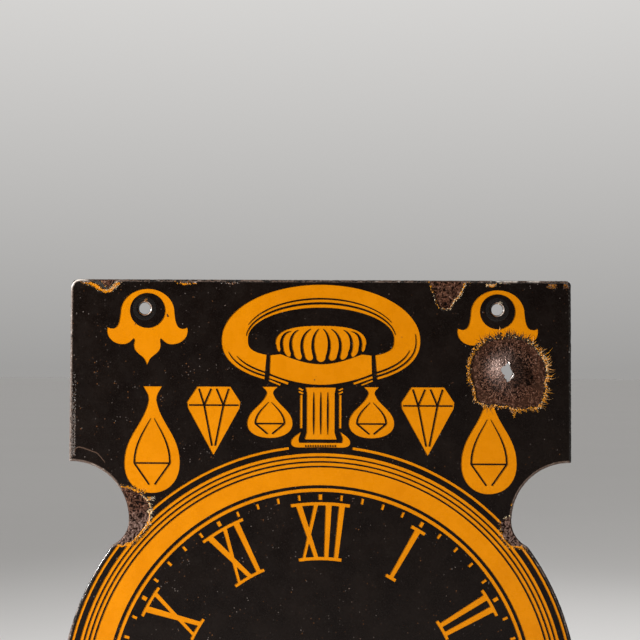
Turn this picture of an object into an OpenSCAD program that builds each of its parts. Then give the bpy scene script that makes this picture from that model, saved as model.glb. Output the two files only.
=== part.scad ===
// Double-sided enamelled trade sign: a steel sheet cut as a head panel over a watch dial,
// with three fired coats on each face. The top black coat is stencilled, and the amber coat
// under it shows through as the watch, the numerals, the jewels and the corner ornaments.
// X runs to the right across the front face, Z is up and -Y is the front face's outward side.
// The origin lies midway between the two hanging holes, in the middle of the sheet.

/* [Sheet] */
// Width of the head panel
panel_w = 360; // [340:1:380]
// Height of the head panel above the hanging holes
panel_top = 20.7; // [20:0.1:26]
// Radius of the panel's upper left corner
corner_r = 6.5; // [3:0.5:9]
// Radius of the panel's upper right corner, which is struck sharper
corner_right_r = 3; // [2:0.5:9]
// Width of the sheet at its waist, between the coves
waist_w = 274; // [268:1:280]
// Radius of the cove under each end of the panel
cove_r = 42; // [36:1:44]
// Radius of the cove's lower end, where it runs into the dial
cove_low_r = 20; // [16:1:24]
// How deep the cove's lower end cuts into the dial's margin
cove_bite = 2.2; // [1.6:0.1:2.6]
// Thickness of the steel
steel_t = 1.5; // [1:0.1:2.5]
// Distance between the two hanging holes
hole_pitch = 254; // [250:1:258]
// Diameter of a hanging hole in the steel
hole_d = 8; // [6:0.5:9]

/* [Enamel] */
// Thickness of the ground coat
ground_t = 0.15; // [0.1:0.05:0.3]
// Thickness of the amber coat
amber_t = 0.25; // [0.15:0.05:0.4]
// Thickness of the black coat
black_t = 0.25; // [0.15:0.05:0.4]
// Thickness of the base enamel on the sheet's cut edge
edge_t = 0.3; // [0.25:0.05:0.5]
// How far the ground coat stands back from the steel's edge
ground_inset = 0.4; // [0.2:0.1:0.6]
// How far the amber and black coats stand back from the steel's edge
cover_inset = 0.9; // [0.7:0.1:1.2]
// How much wider each further coat leaves the hanging holes, on the radius
hole_step = 0.4; // [0.2:0.1:0.5]

/* [Watch case and dial] */
// Radius of the black dial
dial_face_r = 148.8; // [147:0.2:151]
// Width of the amber line round the dial
dial_rim_w = 2.6; // [2:0.1:3.2]
// Width of the black line inside the bezel
bezel_line_w = 2.1; // [1.5:0.1:2.6]
// Width of the amber bezel band
bezel_w = 12.8; // [11:0.2:14]
// Width of a black line between the case's ribs
case_line_w = 1.1; // [0.8:0.1:1.3]
// Width of an amber rib of the case
case_rib_w = 2.3; // [2:0.1:2.6]
// Width of the black groove outside the ribs
groove_w = 3.8; // [3.2:0.1:4.4]
// Width of the outermost amber line
outer_line_w = 1.9; // [1.5:0.1:2.2]
// Margin of sheet outside the outermost amber line
dial_margin = 2.7; // [2.2:0.1:3.2]
// Half of the gap in the outermost line, where the watch's neck stands, in degrees
line_gap = 7.2; // [6.8:0.1:8]

/* [Minute track and numerals] */
// Width of a minute mark
mark_w = 2; // [1.6:0.1:2.2]
// Width of a five-minute mark
hour_mark_w = 2.9; // [2.4:0.1:3.2]
// Length of a minute mark
mark_l = 4; // [3.5:0.1:4.4]
// Gap between the dial's rim and the minute marks
mark_gap = 1.8; // [1.4:0.1:2.2]
// Gap between the minute marks and the numerals
numeral_gap = 1.5; // [1.2:0.1:2]
// Height of a numeral with its two bars
numeral_h = 41.5; // [38:0.5:42]
// Thickness of a numeral's bar
bar_t = 2.4; // [2:0.1:2.8]
// Width of a thick stroke, at the numeral's top
thick_w = 4.7; // [4.2:0.1:5]
// Width of a thin stroke
thin_w = 3.3; // [2.8:0.1:3.6]
// Width of an X or a V
wide_w = 16.8; // [15:0.2:17.5]
// Gap between the strokes of a numeral
letter_gap = 5; // [4.4:0.1:5.2]
// How far a bar reaches past the strokes
bar_over = 3.5; // [2.5:0.1:3.8]

/* [Hands and seconds dial] */
// Length of the hour hand
hour_hand_l = 84; // [78:1:90]
// Length of the minute hand
minute_hand_l = 128; // [120:1:134]
// Radius of the seconds dial
seconds_r = 33; // [30:0.5:34]
// Distance of the seconds dial below the dial's centre
seconds_drop = 92; // [90:1:94]
// Radius of the hands' hub
hub_r = 9; // [8:0.5:10]

/* [Bow, crown and neck] */
// Half width of the bow
bow_rx = 71.6; // [70:0.2:73]
// Gap between the bow's top and the panel's top edge
bow_top_gap = 3.2; // [2.6:0.1:4]
// Height of the bow
bow_h = 72.4; // [71:0.2:73]
// Half width of the bow's opening
window_rx = 52.5; // [51.5:0.1:53.5]
// Thickness of the bow above its opening
bow_band = 16.5; // [16:0.1:17]
// Half width of the crown
crown_rx = 32.7; // [32:0.1:33.4]
// Distance from the bow's top to the crown's top
crown_top_gap = 29.6; // [29:0.1:30]
// Height of the crown
crown_h = 26.4; // [25.4:0.1:26.8]
// Distance from the bow's foot to the case's outermost line
neck_h = 42.9; // [41:0.1:45]
// Half width of the neck's fluted column
neck_rx = 11; // [10:0.2:11.6]
// Width of a thin amber line
fine_w = 1.9; // [1.5:0.1:2.1]
// Width of a black hairline
hair_w = 1; // [0.8:0.1:1.2]

/* [Corner ornaments] */
// Radius of the black disc round each hanging hole
disc_r = 12.6; // [11.5:0.1:13]
// Width of a corner ornament across its two side leaves
ornament_w = 57.6; // [56:0.2:59]
// How far the artwork sits to the right of the sheet's holes
art_shift = 1.1; // [0:0.1:1.4]
// How much nearer to the middle each disc sits than its hole
art_gather = 0.9; // [0:0.1:1.2]
// How far the artwork sits below the sheet's holes
art_sink = 1.5; // [0:0.1:2]

/* [Jewel row] */
// Width of the outermost jewels
jewel_w = 40; // [36:0.5:41]
// Gap between two jewels
jewel_gap = 4.8; // [4:0.1:5.5]
// Gap between the neck's column and the first jewel
neck_clear = 9.1; // [8:0.1:10]
// Gap between the jewel row and the bow
row_gap = 1.2; // [0.8:0.1:2]
// Gap between the jewels' tips and the outermost line
tip_gap = 8.5; // [7:0.1:10]

/* [Damage] */
// Distance of the shot hole to the right of the middle
shot_x = 133.5; // [131:0.5:136]
// Distance of the shot hole below the hanging holes
shot_drop = 44.6; // [43:0.2:46]
// Height of the bulge that the shot raised
bulge_h = 6.5; // [3:0.5:7]
// Radius of the bulge
bulge_r = 21; // [17:0.5:21.5]
// Length of the torn hole in the bulge
tear_l = 14.9; // [12:0.1:16]
// Mean radius of the enamel lost round the shot on the front
spall_front_r = 26; // [24:0.5:27]
// Mean radius of the enamel lost round the shot on the back
spall_back_r = 23; // [22:0.5:25]
// Width of the amber rim that shows round a chip
rim_w = 2; // [1.2:0.1:2.4]

/* [Hidden] */
$fn = 96;

STEEL_GREY = [0.30, 0.24, 0.21];
EDGE_BROWN = [0.20, 0.14, 0.11];
GROUND_BROWN = [0.16, 0.13, 0.12];
AMBER = [0.93, 0.56, 0.02];
BLACK = [0.07, 0.06, 0.055];

// The case's rings, from the dial outwards, each from the width of the one inside it
rim_r = dial_face_r + dial_rim_w;
bezel_in_r = rim_r + bezel_line_w;
bezel_out_r = bezel_in_r + bezel_w;
rib_1_in_r = bezel_out_r + case_line_w;
rib_1_out_r = rib_1_in_r + case_rib_w;
rib_2_in_r = rib_1_out_r + case_line_w;
rib_2_out_r = rib_2_in_r + case_rib_w;
rib_3_in_r = rib_2_out_r + case_line_w;
rib_3_out_r = rib_3_in_r + case_rib_w;
outer_in_r = rib_3_out_r + groove_w;
outer_out_r = outer_in_r + outer_line_w;
plate_r = outer_out_r + dial_margin;

// The bow hangs from the panel's top edge, and the dial's centre lies below the bow and the neck
bow_top = panel_top - bow_top_gap;
bow_foot = bow_top - bow_h;
dial_drop = outer_out_r + neck_h - bow_foot;
dial_c = [0, -dial_drop];

// The waist lies where the cove's lower end just cuts into the dial
waist_x = waist_w / 2;
low_reach = plate_r + cove_low_r - cove_bite;
waist_z = -dial_drop + sqrt(low_reach * low_reach - pow(waist_x + cove_low_r, 2));
cove_c = [waist_x + cove_r, waist_z];
waist_angle = atan2(waist_x, waist_z + dial_drop);

// Distances from the middle of the sheet to the faces of the coats
steel_face = steel_t / 2;
ground_face = steel_face + ground_t;
amber_face = ground_face + amber_t;

// The minute track and the numerals, from the dial's edge inwards
mark_out_r = dial_face_r - mark_gap;
mark_in_r = mark_out_r - mark_l;
numeral_out_r = mark_in_r - numeral_gap;
numeral_in_r = numeral_out_r - numeral_h;
HOURS = ["XII", "I", "II", "III", "IIII", "V", "", "VII", "VIII", "IX", "X", "XI"];

// The bow is two half superellipses, joined where it is widest
bow_up = 40;
bow_down = bow_h - bow_up;
bow_mid = bow_top - bow_up;
window_up = 22.4;
window_mid = bow_top - bow_band - window_up;
window_down = 13.5;
// The collar's hollow top edge runs between two points in the opening
collar_x = 29.2;
collar_drop = 11.2;
collar_dip = 7.2;
// The slanted gap on each side between the collar and the bow
JOINT_GAP = [[36.4, -7.5], [38.8, -7.5], [41.2, -37.5], [37.2, -37.5]];
// The collar's lower edge from a joint to the middle, as a curve's four points
COLLAR_FOOT = [[37.1, -23.9], [27, -28.6], [12, -32.1], [0, -32.1]];
// The strips under a collar's end: where each starts and stops, and its width
COLLAR_STRIPS = [[[37.2, -26.4], [23.4, -31.3], 1.7], [[37.4, -28.9], [29, -32.3], 1.2]];

crown_top = bow_top - crown_top_gap;
// The crown's flute lines from the middle outwards, as shares of its half width and its height
FLUTE_TOP = [[0.05, 0.09], [0.227, 0.09], [0.497, 0.115], [0.66, 0.155]];
FLUTE_MID_X = [0.205, 0.452, 0.698, 0.888];
FLUTE_FOOT = [[0.139, 0.84], [0.387, 0.815], [0.63, 0.74], [0.86, 0.61]];
// How far each flute's round foot hangs below the ends of the lines beside it, from the middle outwards
FLUTE_SAG = [0.16, 0.12, 0.14, 0.15, 0.13];
crown_side = [0.985, 0.52];
flute_line_w = 2.1;

row_top = bow_foot - row_gap;
row_tip_r = outer_out_r + tip_gap;
// Each jewel's width as a share of the outermost one's: small drop, gem and long drop
JEWEL_SHARE = [0.82, 0.96, 1];
neck_foot = -dial_drop + outer_in_r - 0.5;
neck_top = row_top - 0.4;
foot_h = 6.4;

shot_c = [shot_x, -shot_drop];
// The torn hole's outline, as shares of its length, from the middle of the shot
TEAR = [
    [-0.29, 0.03], [-0.26, 0.2], [-0.09, 0.3], [0.05, 0.46], [0.13, 0.2], [0.2, 0.07], [0.26, -0.1],
    [0.15, -0.27], [0.03, -0.54], [-0.03, -0.38], [-0.15, -0.27], [-0.12, -0.17], [-0.23, -0.07]
];
// How far the lost enamel reaches round the shot, as shares of its mean radius, in even steps,
// anticlockwise from the right
SPALL_FRONT = [
    1.08, 1.05, 1.02, 1, 0.97, 0.94, 0.91, 0.91, 0.96, 0.97, 0.99, 0.99,
    0.98, 0.96, 0.97, 1.12, 1.03, 0.93, 0.92, 1.03, 1.13, 1.27, 1.19, 1.07
];
SPALL_BACK = [0.97, 0.99, 1.05, 0.98, 1, 0.97, 0.99, 1.1, 1, 0.97, 0.99, 1.04];

// How much wider than its outline the ground, amber and black coats leave a chip and the shot
COAT_GROW = [0.2, 0.5, 0.5];
SPALL_RIM = [0, 0, 0.9];
// How wide the amber shows round each chip, towards the sign's axis and away from it, as shares of the rim
CHIP_RIM = [[1.1, 1.1], [0, 0.4], [0.4, 0.65], [0.1, 0.75]];
// The longest splintered hairs round the shot, and their number, in each coat
SPLIT_REACH = [1.6, 4.6, 5.2];
SPLIT_TEETH = [60, 100, 100];

// Chips are outlines of lost enamel down to the steel. Those on an edge run past it.
edge_over = 6;
// The distance over which a chip's rim changes from its near width to its far one
chip_turn = 8;
// Measured from the panel's nearer upper corner, inwards and up
CHIP_TOP_LEFT = [
    [9.4, edge_over], [9.4, -0.2], [15.6, -2.2], [20.2, -4.4], [22.2, -6.4], [25, -7.2],
    [27.6, -6.6], [30, -4.2], [32.2, -1.8], [34.8, -0.2], [34.8, edge_over]
];
// The part of it that goes through the dark ground coat as well
CHIP_TOP_LEFT_BARE = [
    [22.4, edge_over], [22.6, -1.2], [24.2, -4], [26.4, -5.2], [28.2, -3.8], [29.4, -1], [29.8, edge_over]
];
CHIP_TOP_RIGHT = [
    [102, edge_over], [102, 0], [100.1, -3.5], [97.6, -10.4], [96.3, -15.9], [93, -19.2], [90, -20.4],
    [87.6, -19.8], [84.8, -14.6], [81.2, -10.4], [78.4, -5.4], [76.2, 0], [76.2, edge_over]
];
// Chips in the coves lie round the dial: distance out from the sheet's rim, and degrees down from the waist
CHIP_COVE_LEFT = [
    [26, -2.6], [24, -3.4], [18.5, -4.5], [14.1, -5.3], [9.3, -5.4], [4.5, -5.6], [0.4, -5.5], [-2.1, -4.2],
    [-5.8, -3.6], [-7.6, -2.6], [-8.6, -1.2], [-9.3, 0.8], [-8.4, 3.5], [-5.2, 5.2], [2.4, 6.2], [16, 3]
];
CHIP_COVE_RIGHT = [
    [12, 0.2], [4.4, -0.6], [0.4, -1.3], [-3.9, -1], [-7.2, 0.3], [-9, 2.3], [-8.3, 4.1],
    [-3.9, 5.4], [2.6, 5.6], [14, 3]
];
// Spots where only the black is lost: distance in from the left edge, distance below the top, and radius
SPOTS_FRONT = [
    [303, 2.6, 3], [312.5, 1, 2], [81.5, 2.2, 2.6], [88.4, 1.6, 1.9], [346.7, 2.4, 2.9], [357, 2.6, 2.4]
];
SPOTS_BACK = [[120, 0.9, 2.4], [59, 1.4, 2], [218, 0.8, 1.8], [351, 1.5, 2.6]];
// Edge chips of the dial: direction clockwise from the top, and radius
DIAL_CHIPS_FRONT = [[118, 3.4], [205, 4.6], [262, 3]];
DIAL_CHIPS_BACK = [[98, 3.6], [155, 4.4], [242, 3.2]];

// Middle of the black disc round a hanging hole
function disc_c(side) = [side * (hole_pitch / 2 - art_gather) + art_shift, -art_sink];

function sign_pow(v, p) = sign(v) * pow(abs(v), p);

// Points of a superellipse from angle a0 to a1. Power 2 is an ellipse, and more is squarer
function oval(c, rx, rz, a0, a1, n, power = 2) = [
    for (i = [0 : n]) let (a = a0 + (a1 - a0) * i / n)
        c + [rx * sign_pow(cos(a), 2 / power), rz * sign_pow(sin(a), 2 / power)]
];

// Points of a cubic curve, without its first point
function curve(p, n = 8) = [
    for (i = [1 : n]) let (t = i / n, s = 1 - t)
        s * s * s * p[0] + 3 * s * s * t * p[1] + 3 * s * t * t * p[2] + t * t * t * p[3]
];

function flip_x(pts) = [for (p = pts) [-p[0], p[1]]];
function backwards(pts) = [for (i = [len(pts) - 1 : -1 : 0]) pts[i]];

// A whole outline from its right half, given from the top to the bottom on the axis
function both_sides(half) = concat(half, backwards(flip_x([for (i = [1 : len(half) - 2]) half[i]])));

// Point at a distance r from the dial's centre, in a direction clockwise from the top
function at_dial(r, a) = dial_c + [r * sin(a), r * cos(a)];

// The width of a drawn line at a share t of its length: full, or thin at one or both ends
function line_share(t, ends) =
    ends == "both" ? 0.15 + 0.85 * pow(sin(180 * t), 0.7)
        : ends == "start" ? 0.15 + 0.85 * pow(sin(90 * t), 0.7)
        : ends == "end" ? 0.15 + 0.85 * pow(cos(90 * t), 0.7)
        : 1;

// Outline of a line of width w drawn along a path
function drawn(path, w, ends = "none") =
    let (
        n = len(path) - 1,
        side = [
            for (i = [0 : n])
                let (d = path[min(i + 1, n)] - path[max(i - 1, 0)], u = d / norm(d))
                    [-u[1], u[0]] * w / 2 * line_share(i / n, ends)
        ]
    ) concat([for (i = [0 : n]) path[i] + side[i]], [for (i = [n : -1 : 0]) path[i] - side[i]]);

// A broken edge: each side of an outline is cut into steps, and each step moves out or in at random
function broken(corners, step, depth, seed) =
    let (n = len(corners))
        [
            for (k = [0 : n - 1])
                let (
                    a = corners[k],
                    b = corners[(k + 1) % n],
                    d = b - a,
                    steps = max(1, round(norm(d) / step)),
                    across = [-d[1], d[0]] / norm(d),
                    shake = rands(-depth, depth, steps, seed + k)
                )
                    for (i = [0 : steps - 1]) a + d * i / steps + across * (i == 0 ? 0 : shake[i])
        ];

// An outline round a point, grown square to its sides: by one distance near the axis, another far from it
function grown(pts, c, near, far) =
    let (n = len(pts))
        [
            for (i = [0 : n - 1])
                let (
                    d = pts[(i + 1) % n] - pts[(i + n - 1) % n],
                    across = [d[1], -d[0]] / norm(d),
                    share = min(1, max(0, 0.5 + (abs(pts[i][0]) - abs(c[0])) / chip_turn)),
                    by = near * (1 - share) + far * share
                ) pts[i] + across * by * sign(across * (pts[i] - c))
        ];

function middle(pts) = [for (axis = [0, 1]) sum([for (p = pts) p[axis]]) / len(pts)];
function sum(v, i = 0) = i < len(v) ? v[i] + sum(v, i + 1) : 0;

// The radius of the lost enamel in a direction, smoothed between the listed ones
function spall_r(list, a) =
    let (
        n = len(list),
        s = (a % 360) / 360 * n,
        k = floor(s),
        t = s - k,
        e = t * t * (3 - 2 * t)
    ) list[k % n] * (1 - e) + list[(k + 1) % n] * e;

// How long the splintered hairs are in a direction, as a share of the longest. The black coat splits
// furthest towards the right, and the coats under it towards the top and the foot
function hair_share(a, sideways) =
    sideways ? 0.45 + 0.55 * pow(cos(a / 2 - 5), 2) : 0.3 + 0.7 * pow(sin(a), 2);

// A ring of hair-like teeth round the shot. Each tooth reaches a random way out and leans to a side
function spall(list, grow, teeth, reach, sideways, seed) =
    let (
        pitch = 360 / teeth,
        out = rands(0, 1, teeth, seed),
        lean = rands(0.15, 0.75, teeth, seed + 1)
    ) [
        for (k = [0 : teeth - 1], tip = [0, 1])
            let (
                a = pitch * (k + tip * lean[k]),
                hair = reach * hair_share(a, sideways) * pow(out[k], 1.3),
                r = spall_r(list, a) + grow + tip * hair
            ) [r * cos(a), r * sin(a)]
    ];

// The sheet's outline, grown by a distance all round
module plate_shape(grow = 0) {
    difference() {
        panel_shape(grow);
        for (side = [-1, 1]) translate([side * cove_c[0], waist_z]) circle(r = cove_r - grow);
    }
    difference() {
        union() {
            translate(dial_c) circle(r = plate_r + grow);
            translate([-waist_x - grow, waist_z - cove_low_r / 2])
                square([2 * (waist_x + grow), cove_low_r / 2 + 1]);
        }
        for (side = [-1, 1])
            translate([side * (waist_x + cove_low_r), waist_z]) circle(r = cove_low_r - grow);
    }
}

// The head panel, reaching down to the waist, with its two rounded corners
module panel_shape(grow) {
    w = panel_w + 2 * grow;
    left = corner_r + grow;
    right = corner_right_r + grow;
    low = max(left, right);
    top = panel_top + grow;
    translate([-w / 2, waist_z]) square([w, top - low - waist_z]);
    polygon(concat(
        [[-w / 2, top - low - 1], [w / 2, top - low - 1]],
        oval([w / 2 - right, top - right], right, right, 0, 90, 16),
        oval([-w / 2 + left, top - left], left, left, 90, 180, 24)
    ));
}

// Both hanging holes, at a radius
module holes_shape(r) {
    for (side = [-1, 1]) translate([side * hole_pitch / 2, 0]) circle(r = r);
}

module ring_shape(r_out, r_in) {
    translate(dial_c) difference() {
        circle(r = r_out);
        circle(r = r_in);
    }
}

// Lays a flat shape on a face, from a distance off the middle of the sheet, to a thickness
module on_face(back, from, t) {
    rotate([0, 0, back ? 180 : 0]) rotate([90, 0, 0]) translate([0, 0, from]) linear_extrude(t) children();
}

// The lost enamel on a face. Amber is lost less widely than black, and the ground coat less again.
// The coat is counted up from the steel: 0 is the ground coat, 1 the amber and 2 the black
module damage_shape(back, coat) {
    side = back ? -1 : 1;
    list = back ? SPALL_BACK * spall_back_r : SPALL_FRONT * spall_front_r;
    grow = COAT_GROW[coat];
    reach = SPLIT_REACH[coat];
    translate([side * shot_c[0], shot_c[1]])
        polygon(spall(list, grow + SPALL_RIM[coat], SPLIT_TEETH[coat], reach, coat == 2, 11 + 20 * coat));
    for (k = [0 : 3]) {
        chip = chip_outline(k, back, coat == 0);
        rim = coat == 2 ? CHIP_RIM[k] * rim_w : [0, 0];
        wide = grown(chip, middle(chip), grow + rim[0], grow + rim[1]);
        polygon(broken(wide, 1.6, 0.45, 11 + 20 * coat + 10 * k));
    }
}

// The four chips, placed on a face seen from that face's own side
function chip_outline(k, back, ground) =
    let (
        hand = back ? -1 : 1,
        top_left = ground ? CHIP_TOP_LEFT_BARE : CHIP_TOP_LEFT,
        list = [top_left, CHIP_TOP_RIGHT, CHIP_COVE_LEFT, CHIP_COVE_RIGHT][k],
        side = hand * (k % 2 == 0 ? -1 : 1)
    ) [
        for (p = list)
            k < 2 ? [side * (panel_w / 2 - p[0]), panel_top + p[1]]
                : at_dial(plate_r + p[0], side * (waist_angle + p[1]))
    ];

// Places on a face where only the black coat has gone
module spots_shape(back) {
    spots = back ? SPOTS_BACK : SPOTS_FRONT;
    chips = back ? DIAL_CHIPS_BACK : DIAL_CHIPS_FRONT;
    for (k = [0 : len(spots) - 1]) {
        s = spots[k];
        place = [s[0] - panel_w / 2, panel_top - s[1]];
        polygon(broken(oval(place, s[2], s[2] * 0.7, 0, 330, 11), 0.8, 0.3, 70 + k));
    }
    for (k = [0 : len(chips) - 1]) {
        c = chips[k];
        polygon(broken(oval(at_dial(plate_r - 0.6, c[0]), c[1], c[1], 0, 330, 11), 1.2, 0.4, 90 + k));
    }
}

// Sheet steel with two punched holes, and the bulge and tear that a shot left
module steel_core() {
    color(STEEL_GREY) difference() {
        union() {
            on_face(false, -steel_face, steel_t) difference() {
                plate_shape();
                holes_shape(hole_d / 2);
                translate(shot_c) circle(r = bulge_r);
            }
            translate([shot_c[0], 0, shot_c[1]]) bulge();
        }
        on_face(false, -bulge_h - steel_t, 2 * (bulge_h + steel_t)) translate(shot_c) polygon(TEAR * tear_l);
    }
}

// The bulge: the sheet pushed out towards the front in a bell, at an even thickness
module bulge() {
    steps = 14;
    bell = [
        for (i = [0 : steps]) let (s = i / steps)
            [bulge_r * s, bulge_h * pow((1 + cos(180 * s)) / 2, 1.6)]
    ];
    rotate([90, 0, 0]) rotate_extrude() polygon(concat(
        [for (p = bell) [p[0], p[1] + steel_face]],
        [for (p = backwards(bell)) [p[0], p[1] - steel_face]]
    ));
}

// Base enamel round the sheet's cut edge
module edge_coat() {
    color(EDGE_BROWN) on_face(false, -ground_face, 2 * ground_face) difference() {
        plate_shape(edge_t);
        plate_shape();
    }
}

// Dark ground coat, fired straight on the steel
module ground_coat(back) {
    color(GROUND_BROWN) on_face(back, steel_face, ground_t) difference() {
        plate_shape(-ground_inset);
        holes_shape(hole_d / 2 + hole_step);
        damage_shape(back, 0);
    }
}

// Amber coat over the whole face
module amber_coat(back) {
    color(AMBER) on_face(back, ground_face, amber_t) difference() {
        plate_shape(-cover_inset);
        holes_shape(hole_d / 2 + 2 * hole_step);
        damage_shape(back, 1);
    }
}

// A piece of the black coat: a flat shape less what the face has lost
module black_coat(back) {
    color(BLACK) on_face(back, amber_face, black_t) difference() {
        children();
        damage_shape(back, 2);
        spots_shape(back);
    }
}

// A piece of the black coat that no damage reaches
module black_island(back) {
    color(BLACK) on_face(back, amber_face, black_t) children();
}

// The black ground round everything, out to the sheet's edge
module black_field(back) {
    black_coat(back) difference() {
        plate_shape(-cover_inset);
        translate(dial_c) circle(r = rib_3_out_r);
        outer_line_shape();
        bow_shape();
        crown_shape();
        neck_shape();
        for (side = [-1, 1]) {
            translate(disc_c(side)) ornament_shape();
            for (k = [0 : 2]) jewel(k, side);
        }
    }
}

// The outermost amber line, open at the top where the neck's foot stands
module outer_line_shape() {
    reach = plate_r + 20;
    difference() {
        ring_shape(outer_out_r, outer_in_r);
        polygon([dial_c, at_dial(reach, -line_gap), at_dial(reach, line_gap)]);
    }
}

// Round black disc that a washer would cover, with its hanging hole
module hole_disc(back, side) {
    black_island(back) difference() {
        translate(disc_c(side)) circle(r = disc_r);
        translate([side * hole_pitch / 2, 0]) circle(r = hole_d / 2 + 3 * hole_step);
    }
}

// Bell and three leaves, amber round the disc, in units in which the two side leaves span 57.6
module ornament_shape() {
    side = [19.4, -1.2];
    dome = 16.7;
    leaf = [25, -13.2];
    tip = [28.8, -12.2];
    leaf_foot = [17.5, -24.4];
    notch = [9.8, -20.2];
    lobe = [9.7, -24.8];
    half = concat(
        [for (i = [0 : 14]) let (a = 90 - 90 * i / 14) side + [side[0] * (cos(a) - 1), dome * sin(a)]],
        curve([side, [19.9, -6], [20.4, -13], leaf]),
        curve([leaf, [26.5, -13.2], [27.6, -12.8], tip], 3),
        curve([tip, [30.4, -19], [25, -24.4], leaf_foot], 12),
        curve([leaf_foot, [13.5, -24.4], [11.8, -22], notch], 6),
        curve([notch, [8.6, -20.8], [9.6, -23], lobe], 4),
        curve([lobe, [9.9, -30], [4.5, -32], [2.6, -34.3]]),
        curve([[2.6, -34.3], [1.4, -35.8], [0.6, -37.5], [0, -39.9]], 4)
    );
    polygon(both_sides(half) * (ornament_w / 57.6));
}

// The bow's metal: its outline less the opening, the two joints and the lower hairlines, with two
// short strips under each end of the collar
module bow_shape() {
    difference() {
        polygon(concat(
            oval([0, bow_mid], bow_rx, bow_up, 0, 176, 44),
            oval([0, bow_mid], bow_rx, bow_down, 180, 356, 44, 2.3)
        ));
        polygon(window_outline());
        polygon(under_collar());
        for (side = [-1, 1]) {
            polygon([for (p = JOINT_GAP) [side * p[0], bow_mid + p[1]]]);
            start = side < 0 ? [194, 203] : [173, 193];
            lower_hairline(side, [3.3, 2.4], start[0]);
            lower_hairline(side, [6.4, 4.9], start[1]);
        }
    }
    for (side = [-1, 1], strip = COLLAR_STRIPS)
        polygon(drawn([for (p = [strip[0], strip[1]]) [side * p[0], bow_mid + p[1]]], strip[2]));
}

// A hairline inside the bow's lower edge, at a distance in from it at the line's start and its end
module lower_hairline(side, in, start) {
    steps = 26;
    path = [
        for (i = [0 : steps])
            let (t = i / steps, d = in[0] + (in[1] - in[0]) * t, a = start + (239 - start) * t)
                oval([0, bow_mid], bow_rx - d, bow_down - d, a, a, 1, 2.3)[0]
    ];
    line = drawn(path, hair_w * 1.3, "start");
    polygon(side < 0 ? line : flip_x(line));
}

// What is cut away under the collar, between the two joints
function under_collar() =
    let (
        foot = [for (p = COLLAR_FOOT) [-p[0], bow_mid + p[1]]],
        left = concat([foot[0]], curve(foot, 12)),
        right = backwards(flip_x([for (i = [0 : len(left) - 2]) left[i]])),
        low = bow_foot - 3
    ) concat(left, right, [[COLLAR_FOOT[0][0], low], [-COLLAR_FOOT[0][0], low]]);

// Outline of the bow's opening: an oval top, two round lobes and the collar's hollow top edge
function window_outline() =
    let (
        a_end = 236,
        lobe = oval([0, window_mid], window_rx, window_down, 180, a_end, 18, 3.4),
        hollow = [
            for (i = [0 : 12]) let (t = i / 12)
                [collar_x * (2 * t - 1), window_mid - collar_drop - collar_dip * sin(180 * t)]
        ]
    ) concat(
        oval([0, window_mid], window_rx, window_up, 0, 176, 44),
        lobe,
        hollow,
        backwards(flip_x([for (i = [1 : len(lobe) - 1]) lobe[i]]))
    );

// Two fine black lines on the bow, over its opening, that give it a round edge
module bow_hairlines(back) {
    black_island(back) {
        outer = oval([0, window_mid], window_rx + 3.2, window_up + 6.4, 24, 160, 52);
        inner = oval([0, window_mid], window_rx + 1.4, window_up + 3.1, 6, 176, 60);
        polygon(drawn(outer, hair_w * 1.15, "both"));
        polygon(drawn(inner, hair_w * 1.55, "both"));
    }
}

// A place on the crown: x as a share of its half width, and a share of its height down from its top
function on_crown(x, down) = [crown_rx * x, crown_top - crown_h * down];

// Outline of the black line between two flutes on the right half, from its thin top to its foot
function flute_line(k) =
    let (
        top = on_crown(FLUTE_TOP[k][0], FLUTE_TOP[k][1]),
        foot = on_crown(FLUTE_FOOT[k][0], FLUTE_FOOT[k][1]),
        middle_down = (FLUTE_TOP[k][1] + FLUTE_FOOT[k][1]) / 2,
        upper = on_crown(FLUTE_MID_X[k], middle_down - 0.2),
        lower = on_crown(FLUTE_MID_X[k], middle_down + 0.14)
    ) drawn(concat([top], curve([top, upper, lower, foot], 14)), flute_line_w, "start");

// The foot of one flute between two places: a round lobe that hangs below them
function flute_foot(a, b, sag) = [
    for (i = [0 : 10])
        let (t = i / 10) a + (b - a) * (1 - cos(180 * t)) / 2 - [0, sag * pow(sin(180 * t), 0.8)]
];

// The winding crown's outline: an oval cap over nine flutes with round feet. The black lines end
// at the gaps between the feet, so each line's foot has its two corners in the outline
module crown_shape() {
    line_ends = [for (k = [3 : -1 : 0]) let (line = flute_line(k)) [line[15], line[14]]];
    outer = [for (e = line_ends) e[0][0] > e[1][0] ? e[0] : e[1]];
    inner = [for (e = line_ends) e[0][0] > e[1][0] ? e[1] : e[0]];
    starts = concat([on_crown(crown_side[0], crown_side[1])], inner);
    stops = concat(outer, [[-inner[3][0], inner[3][1]]]);
    right = [for (k = [0 : 3]) each flute_foot(starts[k], stops[k], crown_h * FLUTE_SAG[4 - k])];
    centre = flute_foot(starts[4], stops[4], crown_h * FLUTE_SAG[0]);
    polygon(concat(
        backwards(oval(on_crown(0, 0.5), crown_rx, crown_h / 2, 0, 180, 32, 2.6)),
        right,
        centre,
        backwards(flip_x(right))
    ));
}

// The black lines between the crown's flutes
module crown_flute_lines(back) {
    black_island(back)
        for (side = [-1, 1], k = [0 : 3])
            polygon([for (p = flute_line(k)) [side * p[0], p[1]]]);
}

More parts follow.
